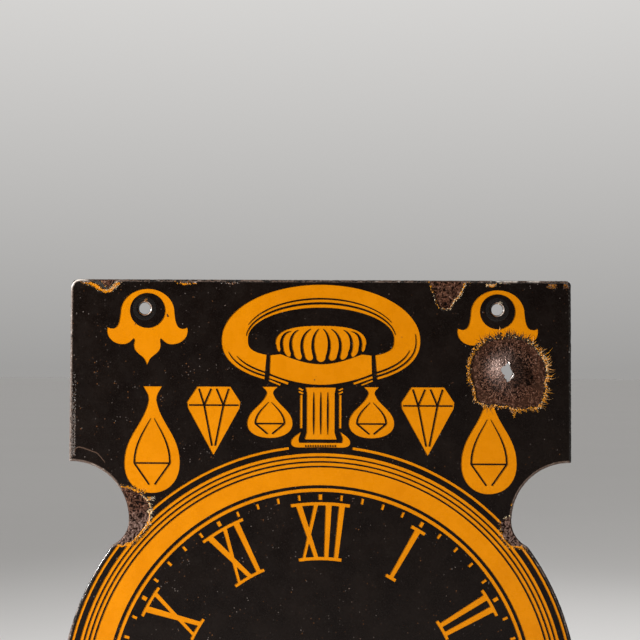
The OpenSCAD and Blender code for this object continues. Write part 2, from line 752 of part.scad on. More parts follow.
// The neck between the crown and the case: a column, two fine side lines, and a scrolled foot
module neck_shape() {
    column_foot = neck_foot + foot_h;
    flare = 5;
    shaft = neck_rx - 0.9;
    half = [[0, neck_top], [neck_rx, neck_top], [shaft, neck_top - 4], [shaft, column_foot + flare],
        [neck_rx + 0.6, column_foot], [0, column_foot]];
    polygon(both_sides(half));
    for (side = [-1, 1]) {
        line_x = side * (neck_rx + 3);
        polygon(drawn([[line_x, neck_top - 5.4], [line_x, column_foot + 1.6 * flare]], fine_w));
        for (k = [0, 1]) {
            stroke_z = neck_top - 0.6 - 2.3 * k;
            polygon(drawn([[side * (neck_rx + 5), stroke_z], [side * (neck_rx + 1.6), stroke_z - 1.6]], 1.3));
        }
        polygon([for (p = neck_scroll()) [side * (neck_rx + p[0]), neck_foot + p[1]]]);
    }
}

// One half of the neck's foot, from the column's side and from the foot's lower edge
function neck_scroll() =
    let (
        curl = [2.6, 12.4],
        out = [10.4, 4],
        under = [5, 0.6],
        rise = [4.2, foot_h - 2.4]
    ) concat(
        [curl],
        curve([curl, [5, 10], [10.4, 8], out]),
        curve([out, [10.4, 1.6], [8, 0.8], under], 5),
        [[-neck_rx, 0.8], [-neck_rx, rise[1]], rise],
        [for (p = curve([rise, [5.4, 6.4], [4.4, 8.4], curl], 5)) if (p != curl) p]
    );

// Black flutes on the neck's column, and the milled edge of its foot
module neck_flute_lines(back) {
    flute_l = neck_top - neck_foot - foot_h - 7;
    black_island(back) {
        for (k = [-1, 0, 1]) {
            path = [for (i = [0 : 8]) [k * neck_rx * 0.46, neck_top - 3.4 - i / 8 * flute_l]];
            polygon(drawn(path, hair_w * 1.2, "both"));
        }
        for (k = [-6 : 6])
            translate([(k * 0.16 - 0.036) * neck_rx, neck_foot + 1]) square([0.8, 1.4]);
    }
}

function jewel_width(k) = jewel_w * JEWEL_SHARE[k];
// Distance from the middle to a jewel's axis. The jewels stand side by side with even gaps
function jewel_x(k) =
    k == 0 ? neck_rx + neck_clear + jewel_width(0) / 2
        : jewel_x(k - 1) + (jewel_width(k - 1) + jewel_width(k)) / 2 + jewel_gap;

// Height of a jewel: from the row's straight top to the arch over the case
function jewel_h(k) = row_top + dial_drop - sqrt(row_tip_r * row_tip_r - pow(jewel_x(k), 2));

// Jewel number k on a side: a drop, a cut gem or a long drop
module jewel(k, side) {
    translate([side * jewel_x(k), row_top])
        if (k == 1) polygon(gem_outline(jewel_width(k), jewel_h(k)));
        else polygon(both_sides(drop_half(jewel_width(k) / 2, jewel_h(k))));
}

// Right half of a hanging drop, narrow at its cap and full below
function drop_half(r, h) = concat(
    [[0, 0], [r * 0.34, 0]],
    curve([[r * 0.34, 0], [r * 0.24, -h * 0.05], [r * 0.14, -h * 0.07], [r * 0.14, -h * 0.13]], 4),
    curve([[r * 0.14, -h * 0.13], [r * 0.3, -h * 0.36], [r, -h * 0.46], [r, -h * 0.72]], 12),
    curve([[r, -h * 0.72], [r, -h * 0.9], [r * 0.55, -h], [0, -h]], 10)
);

// A cut gem seen from the side: table, crown, girdle and point, as shares of its width and height
GEM_TABLE = 0.31;
GEM_CROWN = 0.27;
GEM_FACET = 0.18;
GEM_EDGE = 0.045;
function gem_outline(w, h) = both_sides([
    [0, 0], [w * GEM_TABLE, 0], [w / 2, -h * (GEM_CROWN - GEM_EDGE)],
    [w / 2 - 0.6, -h * (GEM_CROWN + GEM_EDGE)], [0, -h]
]);

// The black lines that show the jewels' facets
module jewel_facet_lines(back) {
    black_coat(back)
        for (side = [-1, 1], k = [0 : 2])
            translate([side * jewel_x(k), row_top])
                if (k == 1) gem_lines(jewel_width(k), jewel_h(k));
                else drop_lines(jewel_width(k) / 2, jewel_h(k));
}

// The girdle right across, the crown's slanted facets above it and the long facets under it
module gem_lines(w, h) {
    girdle = -h * GEM_CROWN;
    line = hair_w * 1.1;
    top = -1.6;
    knee = w * GEM_FACET;
    polygon(drawn([[-w * 0.46, girdle], [w * 0.46, girdle]], line));
    for (side = [-1, 1]) {
        polygon(drawn([[side * w * 0.05, top], [side * knee, girdle]], line));
        polygon(drawn([[side * (w * GEM_TABLE - 1.2), top], [side * knee, girdle]], line));
        polygon(drawn([[side * knee, girdle], [side * w * 0.03, -h * 0.86]], line));
    }
}

// A bright facet in the drop's full part: an arch over a straight sill, and a point under it
module drop_lines(r, h) {
    line = hair_w * 1.1;
    sill = -h * 0.72;
    in = 0.64;
    for (side = [-1, 1]) {
        top = [side * r * 0.06, -h * 0.3];
        shoulder = [side * r * 0.3, -h * 0.42];
        corner = [side * r * in, sill];
        arch = concat([top], curve([top, shoulder, [side * r * in, -h * 0.54], corner], 8));
        polygon(drawn(arch, line, "start"));
        polygon(drawn([[side * r * in, sill], [side * r * 0.1, sill - h * 0.2]], line));
    }
    polygon(drawn([[-r * in, sill], [r * in, sill]], line));
}

module dial_line(back, r_out, r_in) {
    black_coat(back) ring_shape(r_out, r_in);
}

// The dial's black enamel, open at the minute marks, numerals, hands and seconds dial
module dial_face(back) {
    black_island(back) difference() {
        translate(dial_c) circle(r = dial_face_r);
        for (m = [0 : 59]) minute_mark(m);
        for (h = [0 : 11]) if (HOURS[h] != "") numeral(HOURS[h], 30 * h);
        translate([0, -dial_drop - seconds_drop]) circle(r = seconds_r);
        translate(dial_c) circle(r = hub_r);
        hand(minute_hand_l, 4.6, 104);
        hand(hour_hand_l, 7.4, 249);
    }
}

module minute_mark(m) {
    w = (m % 5 == 0 ? hour_mark_w : mark_w) / 2;
    translate(dial_c) rotate(-6 * m) translate([-w, mark_in_r]) square([2 * w, mark_l]);
}

function glyph_w(c) = c == "I" ? thick_w : wide_w;
function word_w(word, n) = n == 0 ? 0 : word_w(word, n - 1) + glyph_w(word[n - 1]) + letter_gap;

// One Roman numeral, its foot towards the dial's centre
module numeral(word, angle) {
    w = word_w(word, len(word)) - letter_gap;
    r1 = numeral_out_r - bar_t / 2;
    r0 = numeral_in_r + bar_t / 2;
    for (r = [numeral_out_r - bar_t, numeral_in_r])
        polygon(concat(
            [for (i = [0 : 6]) numeral_at(-w / 2 - bar_over + (w + 2 * bar_over) * i / 6, r + bar_t, angle)],
            [for (i = [6 : -1 : 0]) numeral_at(-w / 2 - bar_over + (w + 2 * bar_over) * i / 6, r, angle)]
        ));
    for (i = [0 : len(word) - 1]) glyph(word[i], -w / 2 + word_w(word, i), r0, r1, angle);
}

// A place on a numeral: u across at its top, r from the dial's centre
function numeral_at(u, r, angle) = at_dial(r, angle + u / numeral_out_r * 180 / PI);

module stroke(u_top, w_top, u_foot, w_foot, r0, r1, angle) {
    polygon([
        numeral_at(u_top, r1, angle), numeral_at(u_top + w_top, r1, angle),
        numeral_at(u_foot + w_foot, r0, angle), numeral_at(u_foot, r0, angle)
    ]);
}

module glyph(c, u, r0, r1, angle) {
    end = u + wide_w;
    if (c == "I") stroke(u, thick_w, u, thick_w, r0, r1, angle);
    if (c == "X") {
        stroke(u, thick_w, end - thick_w, thick_w, r0, r1, angle);
        stroke(end - thin_w, thin_w, u, thin_w, r0, r1, angle);
    }
    if (c == "V") {
        stroke(u, thick_w, u + wide_w / 2 - thick_w / 2, thick_w, r0, r1, angle);
        stroke(end - thin_w, thin_w, u + wide_w / 2 - thin_w / 2, thin_w, r0, r1, angle);
    }
}

// A spade hand from the hub to its point, in a direction clockwise from the top
module hand(l, w, angle) {
    half = concat(
        [[0, l], [w * 0.12, l * 0.93]],
        curve([[w * 0.12, l * 0.93], [w * 0.5, l * 0.86], [w * 1.25, l * 0.8], [w * 1.25, l * 0.74]], 6),
        curve([[w * 1.25, l * 0.74], [w * 1.25, l * 0.69], [w * 0.6, l * 0.67], [w * 0.3, l * 0.68]], 6),
        [[w * 0.3, l * 0.62], [w * 0.5, hub_r], [w * 0.5, 0], [0, -l * 0.16]]
    );
    translate(dial_c) rotate(-angle) polygon(both_sides(half));
}

// Black ring on the hands' hub
module hub_ring(back) {
    black_island(back) ring_shape(hub_r * 0.62, hub_r * 0.42);
}

// The seconds dial's black enamel inside its amber rim, open at its marks and its hand
module seconds_dial(back) {
    face_r = seconds_r - 1.6;
    c = [0, -dial_drop - seconds_drop];
    black_island(back) difference() {
        translate(c) circle(r = face_r);
        for (m = [0 : 11]) {
            l = m % 3 == 0 ? 5 : 3;
            translate(c) rotate(30 * m) translate([-0.8, face_r - 1.4 - l]) square([1.6, l]);
        }
        translate(c) circle(r = 2.6);
        translate(c) rotate(-222) polygon(both_sides([
            [0, face_r - 7], [0.35, face_r - 7], [0.9, 0], [1.5, -9], [0, -9]
        ]));
    }
}

steel_core();
edge_coat();
ground_coat(false);  // ground_coat_front
ground_coat(true);  // ground_coat_back
amber_coat(false);  // amber_coat_front
amber_coat(true);  // amber_coat_back
black_field(false);  // black_field_front
black_field(true);  // black_field_back
hole_disc(false, -1);  // hole_disc_left_front
hole_disc(true, -1);  // hole_disc_left_back
hole_disc(false, 1);  // hole_disc_right_front
hole_disc(true, 1);  // hole_disc_right_back
bow_hairlines(false);  // bow_hairlines_front
bow_hairlines(true);  // bow_hairlines_back
crown_flute_lines(false);  // crown_flute_lines_front
crown_flute_lines(true);  // crown_flute_lines_back
neck_flute_lines(false);  // neck_flute_lines_front
neck_flute_lines(true);  // neck_flute_lines_back
jewel_facet_lines(false);  // jewel_facet_lines_front
jewel_facet_lines(true);  // jewel_facet_lines_back
dial_line(false, rib_3_in_r, rib_2_out_r);  // case_line_outer_front
dial_line(true, rib_3_in_r, rib_2_out_r);  // case_line_outer_back
dial_line(false, rib_2_in_r, rib_1_out_r);  // case_line_middle_front
dial_line(true, rib_2_in_r, rib_1_out_r);  // case_line_middle_back
dial_line(false, rib_1_in_r, bezel_out_r);  // case_line_inner_front
dial_line(true, rib_1_in_r, bezel_out_r);  // case_line_inner_back
dial_line(false, bezel_in_r, rim_r);  // bezel_line_front
dial_line(true, bezel_in_r, rim_r);  // bezel_line_back
dial_face(false);  // dial_face_front
dial_face(true);  // dial_face_back
hub_ring(false);  // hub_ring_front
hub_ring(true);  // hub_ring_back
seconds_dial(false);  // seconds_dial_front
seconds_dial(true);  // seconds_dial_back
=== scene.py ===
import math

import bmesh
import bpy
import numpy as np
from mathutils import Matrix, Vector
from mathutils.bvhtree import BVHTree


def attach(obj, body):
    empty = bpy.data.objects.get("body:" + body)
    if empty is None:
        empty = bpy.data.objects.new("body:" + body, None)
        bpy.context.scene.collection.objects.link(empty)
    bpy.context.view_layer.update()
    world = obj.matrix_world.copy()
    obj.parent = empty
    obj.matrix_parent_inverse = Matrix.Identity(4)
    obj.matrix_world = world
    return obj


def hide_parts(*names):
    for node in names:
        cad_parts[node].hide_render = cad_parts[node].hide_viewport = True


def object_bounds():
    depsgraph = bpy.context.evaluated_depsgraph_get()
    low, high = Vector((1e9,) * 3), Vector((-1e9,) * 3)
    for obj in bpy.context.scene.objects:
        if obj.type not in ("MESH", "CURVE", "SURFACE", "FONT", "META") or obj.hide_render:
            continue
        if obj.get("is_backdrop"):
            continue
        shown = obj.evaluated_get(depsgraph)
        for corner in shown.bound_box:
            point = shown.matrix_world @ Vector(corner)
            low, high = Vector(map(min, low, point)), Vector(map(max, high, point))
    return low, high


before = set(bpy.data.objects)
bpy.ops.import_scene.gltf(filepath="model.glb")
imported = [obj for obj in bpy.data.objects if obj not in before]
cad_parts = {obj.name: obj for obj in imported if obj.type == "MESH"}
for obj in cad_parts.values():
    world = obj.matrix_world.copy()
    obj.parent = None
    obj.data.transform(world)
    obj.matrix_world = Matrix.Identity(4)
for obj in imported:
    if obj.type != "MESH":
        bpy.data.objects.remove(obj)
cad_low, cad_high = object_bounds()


# Studio floor: a wide pale disc just under the sign's lowest edge, so that the sign seems to stand on it.
# Lengths in this script are millimetres, and become metres when a mesh is made.
TO_METRES = 0.001
TO_MILLIMETRES = 1000
FLOOR_RADIUS = 60000
FLOOR_GAP = 0.6
FLOOR_SPOKES = 96
FLOOR_RINGS = 16
# The rings lie at the squares of even shares of the radius, from this share to the whole
FLOOR_START = 0.001


def set_inputs(tree, node, **inputs):
    """Sets a shader node's inputs. Each is a value or another node's socket."""
    for name, value in inputs.items():
        socket = node.inputs[name.replace("_", " ")]
        if isinstance(value, bpy.types.NodeSocket):
            tree.links.new(value, socket)
        else:
            socket.default_value = value


def shader_node(tree, kind, settings=None, **inputs):
    """Adds a shader node with these inputs. Settings are its properties."""
    new = tree.nodes.new(kind)
    for name, value in (settings or {}).items():
        setattr(new, name, value)
    set_inputs(tree, new, **inputs)
    return new


def mix_colour(tree, factor, low, high):
    """The colour from low to high by a factor. A Mix node's colours are sockets 6 and 7, its result 2."""
    new = tree.nodes.new("ShaderNodeMix")
    new.data_type = "RGBA"
    for place, value in ((0, factor), (6, low), (7, high)):
        if isinstance(value, bpy.types.NodeSocket):
            tree.links.new(value, new.inputs[place])
        elif place == 0:
            new.inputs[place].default_value = value
        else:
            new.inputs[place].default_value = (*value, 1)
    return new.outputs[2]


def stretch(tree, value, low, high, to_low=0.0, to_high=1.0):
    """Maps a value's range from low to high onto another range, and holds it inside that range."""
    names = dict(Value=value, From_Min=low, From_Max=high, To_Min=to_low, To_Max=to_high)
    return shader_node(tree, "ShaderNodeMapRange", **names).outputs[0]


def noise(tree, place, scale, detail=2.0, roughness=0.5):
    """Smooth noise from 0 to 1. The scale is in waves a metre."""
    names = dict(Vector=place, Scale=scale, Detail=detail, Roughness=roughness)
    return shader_node(tree, "ShaderNodeTexNoise", **names).outputs["Fac"]


def new_material(name, **sockets):
    """A material with these values on its shader. Gives it, its tree, its shader and the object place."""
    material = bpy.data.materials.new(name)
    material.use_nodes = True
    tree = material.node_tree
    shader = tree.nodes["Principled BSDF"]
    set_inputs(tree, shader, **sockets)
    place = shader_node(tree, "ShaderNodeTexCoord").outputs["Object"]
    return material, tree, shader, place


def new_piece(name, points, faces, material, smooth=True, **values):
    """Makes a mesh from points in millimetres. Each value is one number or one colour for each point."""
    mesh = bpy.data.meshes.new(name)
    points = np.asarray(points, float).reshape(-1, 3)
    mesh.from_pydata((points * TO_METRES).tolist(), [], np.asarray(faces).tolist())
    for key, numbers in values.items():
        numbers = np.asarray(numbers, np.float32)
        kind = "FLOAT" if numbers.ndim == 1 else "FLOAT_VECTOR"
        store = mesh.attributes.new(key, kind, "POINT")
        store.data.foreach_set("value" if numbers.ndim == 1 else "vector", numbers.ravel())
    mesh.polygons.foreach_set("use_smooth", [smooth] * len(mesh.polygons))
    mesh.materials.append(material)
    mesh.update()
    piece = bpy.data.objects.new(name, mesh)
    bpy.context.scene.collection.objects.link(piece)
    return piece


def grid_faces(rows, columns, closed=False):
    """Four-cornered faces between the points of a grid. A closed grid's last column joins its first."""
    across = columns if closed else columns - 1
    row, column = np.meshgrid(np.arange(rows - 1), np.arange(across), indexing="ij")
    after = (column + 1) % columns
    here = row * columns
    beyond = (row + 1) * columns
    return np.stack([here + column, here + after, beyond + after, beyond + column], -1).reshape(-1, 4)


def full_turn(count):
    """So many angles in radians, evenly round a circle."""
    return np.linspace(0, 2 * np.pi, count, endpoint=False)


def round_about(centre, reach, turn):
    """The two coordinates of places, from their distances and their angles in radians round a centre."""
    return centre[0] + reach * np.cos(turn), centre[1] + reach * np.sin(turn)


floor_paint, tree, shader, place = new_material("floor_paint", Roughness=0.8, Specular_IOR_Level=0.2)
tone = mix_colour(tree, noise(tree, place, 1.5, 3), (0.79, 0.78, 0.77), (0.82, 0.81, 0.80))
set_inputs(tree, shader, Base_Color=tone)
turn, reach = np.meshgrid(full_turn(FLOOR_SPOKES), np.linspace(FLOOR_START, 1, FLOOR_RINGS) ** 2)
x, y = round_about((0, 0), reach * FLOOR_RADIUS, turn)
floor_points = np.stack([x, y, np.full_like(x, cad_low.z * TO_MILLIMETRES - FLOOR_GAP)], -1)
floor_faces = grid_faces(FLOOR_RINGS, FLOOR_SPOKES, closed=True)
floor = new_piece("studio_floor", floor_points, floor_faces, floor_paint)
floor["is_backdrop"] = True


# Soft studio light: one square lamp from the upper left, far off the sheet's normal so that it rakes the
# bulge, a wide weak lamp behind, and a pale room that fades to the floor's tone at the horizon. A dark
# screen stands in front, round the camera, so that the glossy enamel mirrors little light.

# Places and distances of the light and the camera are in metres
LAMP_AIM = Vector((0, 0, -0.32))
KEY_WAY = Vector((-0.85, -0.33, 0.34))
KEY_DISTANCE = 2.4
KEY_SIZE = 0.28
KEY_POWER = 23.2
KEY_SPREAD = 80
BACK_WAY = Vector((0.5, 0.62, 0.62))
BACK_DISTANCE = 2.2
BACK_SIZE = 0.9
BACK_POWER = 5.0
BACK_SPREAD = 120
ROOM = 0.42
ROOM_TINT = (1.0, 0.985, 0.965, 1)
# The horizon's share of the room's brightness, and the sine of the height where the whole of it shows
HORIZON = 0.49
FADE_TOP = 0.3
# The wall behind the sign is this much brighter, between two cosines of the angle to the front
BEHIND = 1.7
BEHIND_FULL = -0.5
BEHIND_FROM = -0.1
# The screen's brightness, and the cosines of the angles to the front where it is whole and where it ends
SCREEN = 0.02
SCREEN_INNER = math.cos(math.radians(45))
SCREEN_OUTER = math.cos(math.radians(87))


def area_lamp(name, way, distance, size, power, spread):
    """A square lamp that shines at the sign's dial from a direction, a distance in metres and a spread."""
    lamp = bpy.data.lights.new(name, "AREA")
    lamp.size = size
    lamp.energy = power
    lamp.spread = math.radians(spread)
    holder = bpy.data.objects.new(name, lamp)
    holder.location = LAMP_AIM + way.normalized() * distance
    holder.rotation_euler = (-way).to_track_quat("-Z", "Y").to_euler()
    bpy.context.scene.collection.objects.link(holder)


def combined(tree, how, first, second):
    """Two sockets' values, added or multiplied."""
    new = shader_node(tree, "ShaderNodeMath", {"operation": how})
    tree.links.new(first, new.inputs[0])
    tree.links.new(second, new.inputs[1])
    return new.outputs[0]


area_lamp("key_lamp", KEY_WAY, KEY_DISTANCE, KEY_SIZE, KEY_POWER, KEY_SPREAD)
area_lamp("back_lamp", BACK_WAY, BACK_DISTANCE, BACK_SIZE, BACK_POWER, BACK_SPREAD)
bpy.context.scene.view_settings.view_transform = "Standard"
room = bpy.data.worlds.new("pale_room")
bpy.context.scene.world = room
room.use_nodes = True
tree = room.node_tree
way = shader_node(tree, "ShaderNodeTexCoord").outputs["Generated"]
along_front = shader_node(tree, "ShaderNodeVectorMath", {"operation": "DOT_PRODUCT"}, Vector=way)
along_front.inputs[1].default_value = (0, -1, 0)
to_front = along_front.outputs["Value"]
rising = shader_node(tree, "ShaderNodeSeparateXYZ", Vector=way).outputs["Z"]
pale = stretch(tree, to_front, SCREEN_OUTER, SCREEN_INNER, ROOM, SCREEN)
pale = combined(tree, "MULTIPLY", pale, stretch(tree, rising, 0.0, FADE_TOP, HORIZON, 1.0))
pale = combined(tree, "MULTIPLY", pale, stretch(tree, to_front, BEHIND_FULL, BEHIND_FROM, BEHIND, 1.0))
set_inputs(tree, tree.nodes["Background"], Color=ROOM_TINT, Strength=pale)


# Camera: a metre in front of the sign, almost square to it, looking up by two degrees. Its focal length is
# in pixels of the 640 pixel frame, and its roll, in radians, is the photograph's.
FRAME_SIDE = 640
FOCAL = 1386.6
SENSOR = 36
CAMERA_TILT = math.radians(2)
CAMERA_ROLL = 0.004
CAMERA_DISTANCE = 1.0
LOOKS_AT = Vector((-0.00063, 0, -0.0079))

ahead = Vector((0, math.cos(CAMERA_TILT), math.sin(CAMERA_TILT)))
level = Vector((1, 0, 0))
over = level.cross(ahead)
right = level * math.cos(CAMERA_ROLL) + over * math.sin(CAMERA_ROLL)
up = over * math.cos(CAMERA_ROLL) - level * math.sin(CAMERA_ROLL)
camera_data = bpy.data.cameras.new("camera")
camera_data.sensor_width = SENSOR
camera_data.lens = FOCAL / FRAME_SIDE * SENSOR
camera = bpy.data.objects.new("camera", camera_data)
turned = Matrix((right, up, -ahead)).transposed().to_4x4()
camera.matrix_world = Matrix.Translation(LOOKS_AT - ahead * CAMERA_DISTANCE) @ turned
bpy.context.scene.collection.objects.link(camera)
bpy.context.scene.camera = camera


# Sheet steel: the blank that everything is fired on, cut from sheet and punched with two holes. It shows
# only where enamel has gone, as brown scaled rust. It is the flat part of the frame's steel, closed at the
# bulge.
SHOT = np.array([133.5, -44.6])
BULGE_RADIUS = 21.0
BULGE_HEIGHT = 6.5
HOLES = np.array([[-127.0, 0.0], [127.0, 0.0]])
HOLE_RADIUS = 4.0
STEEL_FACE = 0.75
# A hole's rim, known by lying this near the hole, is set back this far from it, under the hole's collar
RIM_NEAR = 0.3
RIM_SET_BACK = 0.5
SEAM = 0.02
# The rust's relief, from 0 to 1, is this on the flat sheet
FLAT_RELIEF = 0.4
TO_MICROMETRES = 1000


def stored(tree, name, kind="Fac"):
    """A value that each point of a mesh holds, as a number or as a vector."""
    return shader_node(tree, "ShaderNodeAttribute", {"attribute_name": name}).outputs[kind]


def bumps(tree, height, strength, depth, **under):
    """A normal bent by bumps of a height, with a strength and a depth in metres, over another if given."""
    names = dict(Height=height, Strength=strength, Distance=depth, **under)
    return shader_node(tree, "ShaderNodeBump", **names).outputs["Normal"]


rusted_steel, tree, shader, place = new_material("rusted_steel", Specular_IOR_Level=0.06)
depth = stored(tree, "relief")
bared_and_highlit = stored(tree, "bright")
blotch = noise(tree, place, 120, 4, 0.6)
grain = noise(tree, place, 1300, 3, 0.65)
# Hollows between the scales go near black: darker rust, with painted shade in them.
groove = mix_colour(tree, stretch(tree, blotch, 0.35, 0.65), (0.002, 0.001, 0.0006), (0.010, 0.004, 0.002))
ridge = mix_colour(tree, stretch(tree, blotch, 0.35, 0.7), (0.112, 0.041, 0.022), (0.170, 0.078, 0.047))
scales_shaded_and_highlit = mix_colour(tree, stretch(tree, depth, 0.28, 0.74), groove, ridge)
# Pale tips on the highest scales: a painted highlight.
scales_shaded_and_highlit = mix_colour(tree, stretch(tree, depth, 0.72, 0.9, 0.0, 0.8), scales_shaded_and_highlit, (0.32, 0.21, 0.16))
stained_shaded_and_highlit = mix_colour(tree, stretch(tree, grain, 0.5, 0.7, 0.0, 0.75), scales_shaded_and_highlit, (0.014, 0.006, 0.003))
# Polished steel where rubbed bright, also the colour of the bulge's painted highlight.
polished_and_highlit = mix_colour(tree, stretch(tree, grain, 0.35, 0.65), (0.36, 0.26, 0.225), (0.12, 0.070, 0.055))
set_inputs(
    tree, shader, Base_Color=mix_colour(tree, bared_and_highlit, stained_shaded_and_highlit, polished_and_highlit),
    Metallic=stretch(tree, bared_and_highlit, 0.0, 1.0, 0.1, 0.6),
    Roughness=stretch(tree, grain, 0.3, 0.7, 0.34, 0.55), Normal=bumps(tree, grain, 0.8, 0.0003),
)


def triangles_of(node):
    """A CAD node's corner points in millimetres, with doubles merged, and its triangles."""
    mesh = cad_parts[node].data
    points = np.zeros(len(mesh.vertices) * 3)
    mesh.vertices.foreach_get("co", points)
    points = points.reshape(-1, 3) * TO_MILLIMETRES
    mesh.calc_loop_triangles()
    corners = np.zeros(len(mesh.loop_triangles) * 3, int)
    mesh.loop_triangles.foreach_get("vertices", corners)
    keys = np.round(points * TO_MICROMETRES).astype(np.int64)
    _, first, same = np.unique(keys, axis=0, return_index=True, return_inverse=True)
    corners = same.reshape(-1)[corners].reshape(-1, 3)
    return points[first], corners


def close_openings(piece, capped=False):
    """Closes a mesh's open edge loops, each with a cap, or in pairs with a wall between its two faces."""
    work = bmesh.new()
    work.from_mesh(piece.data)
    rim = [edge for edge in work.edges if edge.is_boundary]
    if capped:
        bmesh.ops.holes_fill(work, edges=rim, sides=6)
    elif rim:
        bmesh.ops.bridge_loops(work, edges=rim)
    bmesh.ops.recalc_face_normals(work, faces=work.faces)
    work.to_mesh(piece.data)
    work.free()


points, corners = triangles_of("steel_core")
reach = np.hypot(points[:, 0] - SHOT[0], points[:, 2] - SHOT[1])
flat = corners[~(reach[corners] < BULGE_RADIUS + SEAM).all(1)]
used, flat = np.unique(flat, return_inverse=True)
flat = flat.reshape(-1, 3)
points = points[used]
for hole in HOLES:
    out = points[:, [0, 2]] - hole
    gap = np.hypot(out[:, 0], out[:, 1])
    near = gap < HOLE_RADIUS + RIM_NEAR
    points[near, 0] = hole[0] + out[near, 0] / gap[near] * (HOLE_RADIUS + RIM_SET_BACK)
    points[near, 2] = hole[1] + out[near, 1] / gap[near] * (HOLE_RADIUS + RIM_SET_BACK)
plain = np.full(len(points), FLAT_RELIEF)
sheet = new_piece("steel_sheet", points, flat, rusted_steel, smooth=False, relief=plain, bright=plain * 0)
close_openings(sheet)
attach(sheet, "root")
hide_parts("steel_core")


# Shot bulge: where a ball struck the back, the steel stands out to the front as a bell, torn open in the
# middle with curled lips. The enamel has burst off round it, and the bare steel has rusted in scales.
TEAR_LENGTH = 14.9
# The torn hole's corners round the shot's middle, as shares of its length
TEAR = np.array([
    [-0.29, 0.03], [-0.26, 0.2], [-0.09, 0.3], [0.05, 0.46], [0.13, 0.2], [0.2, 0.07], [0.26, -0.1],
    [0.15, -0.27], [0.03, -0.54], [-0.03, -0.38], [-0.15, -0.27], [-0.12, -0.17], [-0.23, -0.07],
])
CRATER_REACH = 36.0
CRATER_RINGS = 92
CRATER_SPOKES = 384
# Ways are in degrees anticlockwise from the right. The bulge is rubbed bright round the tear, and painted
# brightest on this side, toward the lamp: a painted highlight.
HIGHLIT_SIDE = 140
HIGHLIT_HALF = 80
# The rim of the tear stands up all round, and more in two lips: each one's way, half width and height
LIP_BASE = 0.35
LIPS = ((-30, 26, 1.1), (84, 12, 0.9))
SCALE_SIZE = 2.0
SCALE_HEIGHT = 0.95
SCALE_FINENESS = 1.5
# The bare steel's outer rim goes this deep under the sheet's faces
SUNK = 0.1
# Large odd numbers that scatter the digits of a lattice place
SCATTER = (374761393, 668265263, 974634777, 1274126177)


def lattice(across, along, seed):
    """A repeatable number from 0 to 1 for each whole-number place: its digits and the seed's, scattered."""
    first, second, third, last = SCATTER
    mixed = across.astype(np.int64) * first + along.astype(np.int64) * second + seed * third
    mixed = (mixed ^ (mixed >> 13)) * last & 0x7FFFFFFFFFFF
    return ((mixed ^ (mixed >> 16)) & 0xFFFF) / 0xFFFF


def waves(across, along, seed):
    """Smooth noise from -1 to 1: numbers on a unit lattice, joined by a smooth step both ways."""
    a, b = np.floor(across), np.floor(along)
    u, v = across - a, along - b
    u, v = u * u * (3 - 2 * u), v * v * (3 - 2 * v)
    low = lattice(a, b, seed) * (1 - u) + lattice(a + 1, b, seed) * u
    high = lattice(a, b + 1, seed) * (1 - u) + lattice(a + 1, b + 1, seed) * u
    return 2 * (low * (1 - v) + high * v) - 1


def line_waves(along, seed):
    """Smooth noise from -1 to 1 along a line."""
    return waves(along, along * 0, seed)


def scales(across, along, seed):
    """Rounded scales from 0 to 1: one less the distance to the nearest of a set of shaken lattice points."""
    a, b = np.floor(across), np.floor(along)
    nearest = np.full(across.shape, 9.0)
    for i in (-1, 0, 1):
        for j in (-1, 0, 1):
            u = a + i + 0.15 + 0.7 * lattice(a + i, b + j, seed)
            v = b + j + 0.15 + 0.7 * lattice(a + i, b + j, seed + 1)
            nearest = np.minimum(nearest, np.hypot(across - u, along - v))
    return np.clip(1 - nearest, 0, 1)


def scaled_rust(x, z, seed):
    """Height of rust scales from 0 to 1: curled ridges where bent noise crosses 0, over rounded scales."""
    bend = waves(x / 2.6, z / 2.6, seed + 5)
    sway = waves(x / 3.4, z / 3.4, seed + 6)
    scale = scales(x / SCALE_SIZE + 0.4 * bend, z / SCALE_SIZE - 0.4 * sway, seed)
    curl = 1 - np.abs(waves(x / 1.9 + 0.9 * bend, z / 1.5 + 0.9 * sway, seed + 7)) * 1.6
    fine = 0.5 + 0.5 * waves(x / 0.6, z / 0.6, seed + 9)
    return np.clip(0.40 * scale + 0.50 * np.clip(curl, 0, 1) + 0.30 * fine - 0.13, 0, 1)


def bell(distance):
    """Height of the bulge over the flat sheet: a raised cosine to a power, which gives it a sharper top."""
    share = np.clip(distance / BULGE_RADIUS, 0, 1)
    return BULGE_HEIGHT * ((1 + np.cos(np.pi * share)) / 2) ** 1.6


def off_way(degrees, way):
    """The angle from a way, between -180 and 180 degrees."""
    return (degrees - way + 180) % 360 - 180


def tear_rim(turn):
    """How far from the shot's middle the torn hole's rim lies at each angle in radians."""
    corner_turn = np.arctan2(TEAR[:, 1], TEAR[:, 0])
    corner_reach = np.hypot(TEAR[:, 0], TEAR[:, 1]) * TEAR_LENGTH
    return np.interp(turn, corner_turn, corner_reach, period=2 * np.pi)


def hump(offset, width):
    """A smooth hump, 1 where the offset is 0, and 0.37 where it is the width."""
    return np.exp(-(offset / width) ** 2)


def face_points(x, z, height, back=False):
    """Points that stand out from the sheet's middle by a height, to the front or to the back."""
    return np.stack([x, height if back else -height, z], -1)


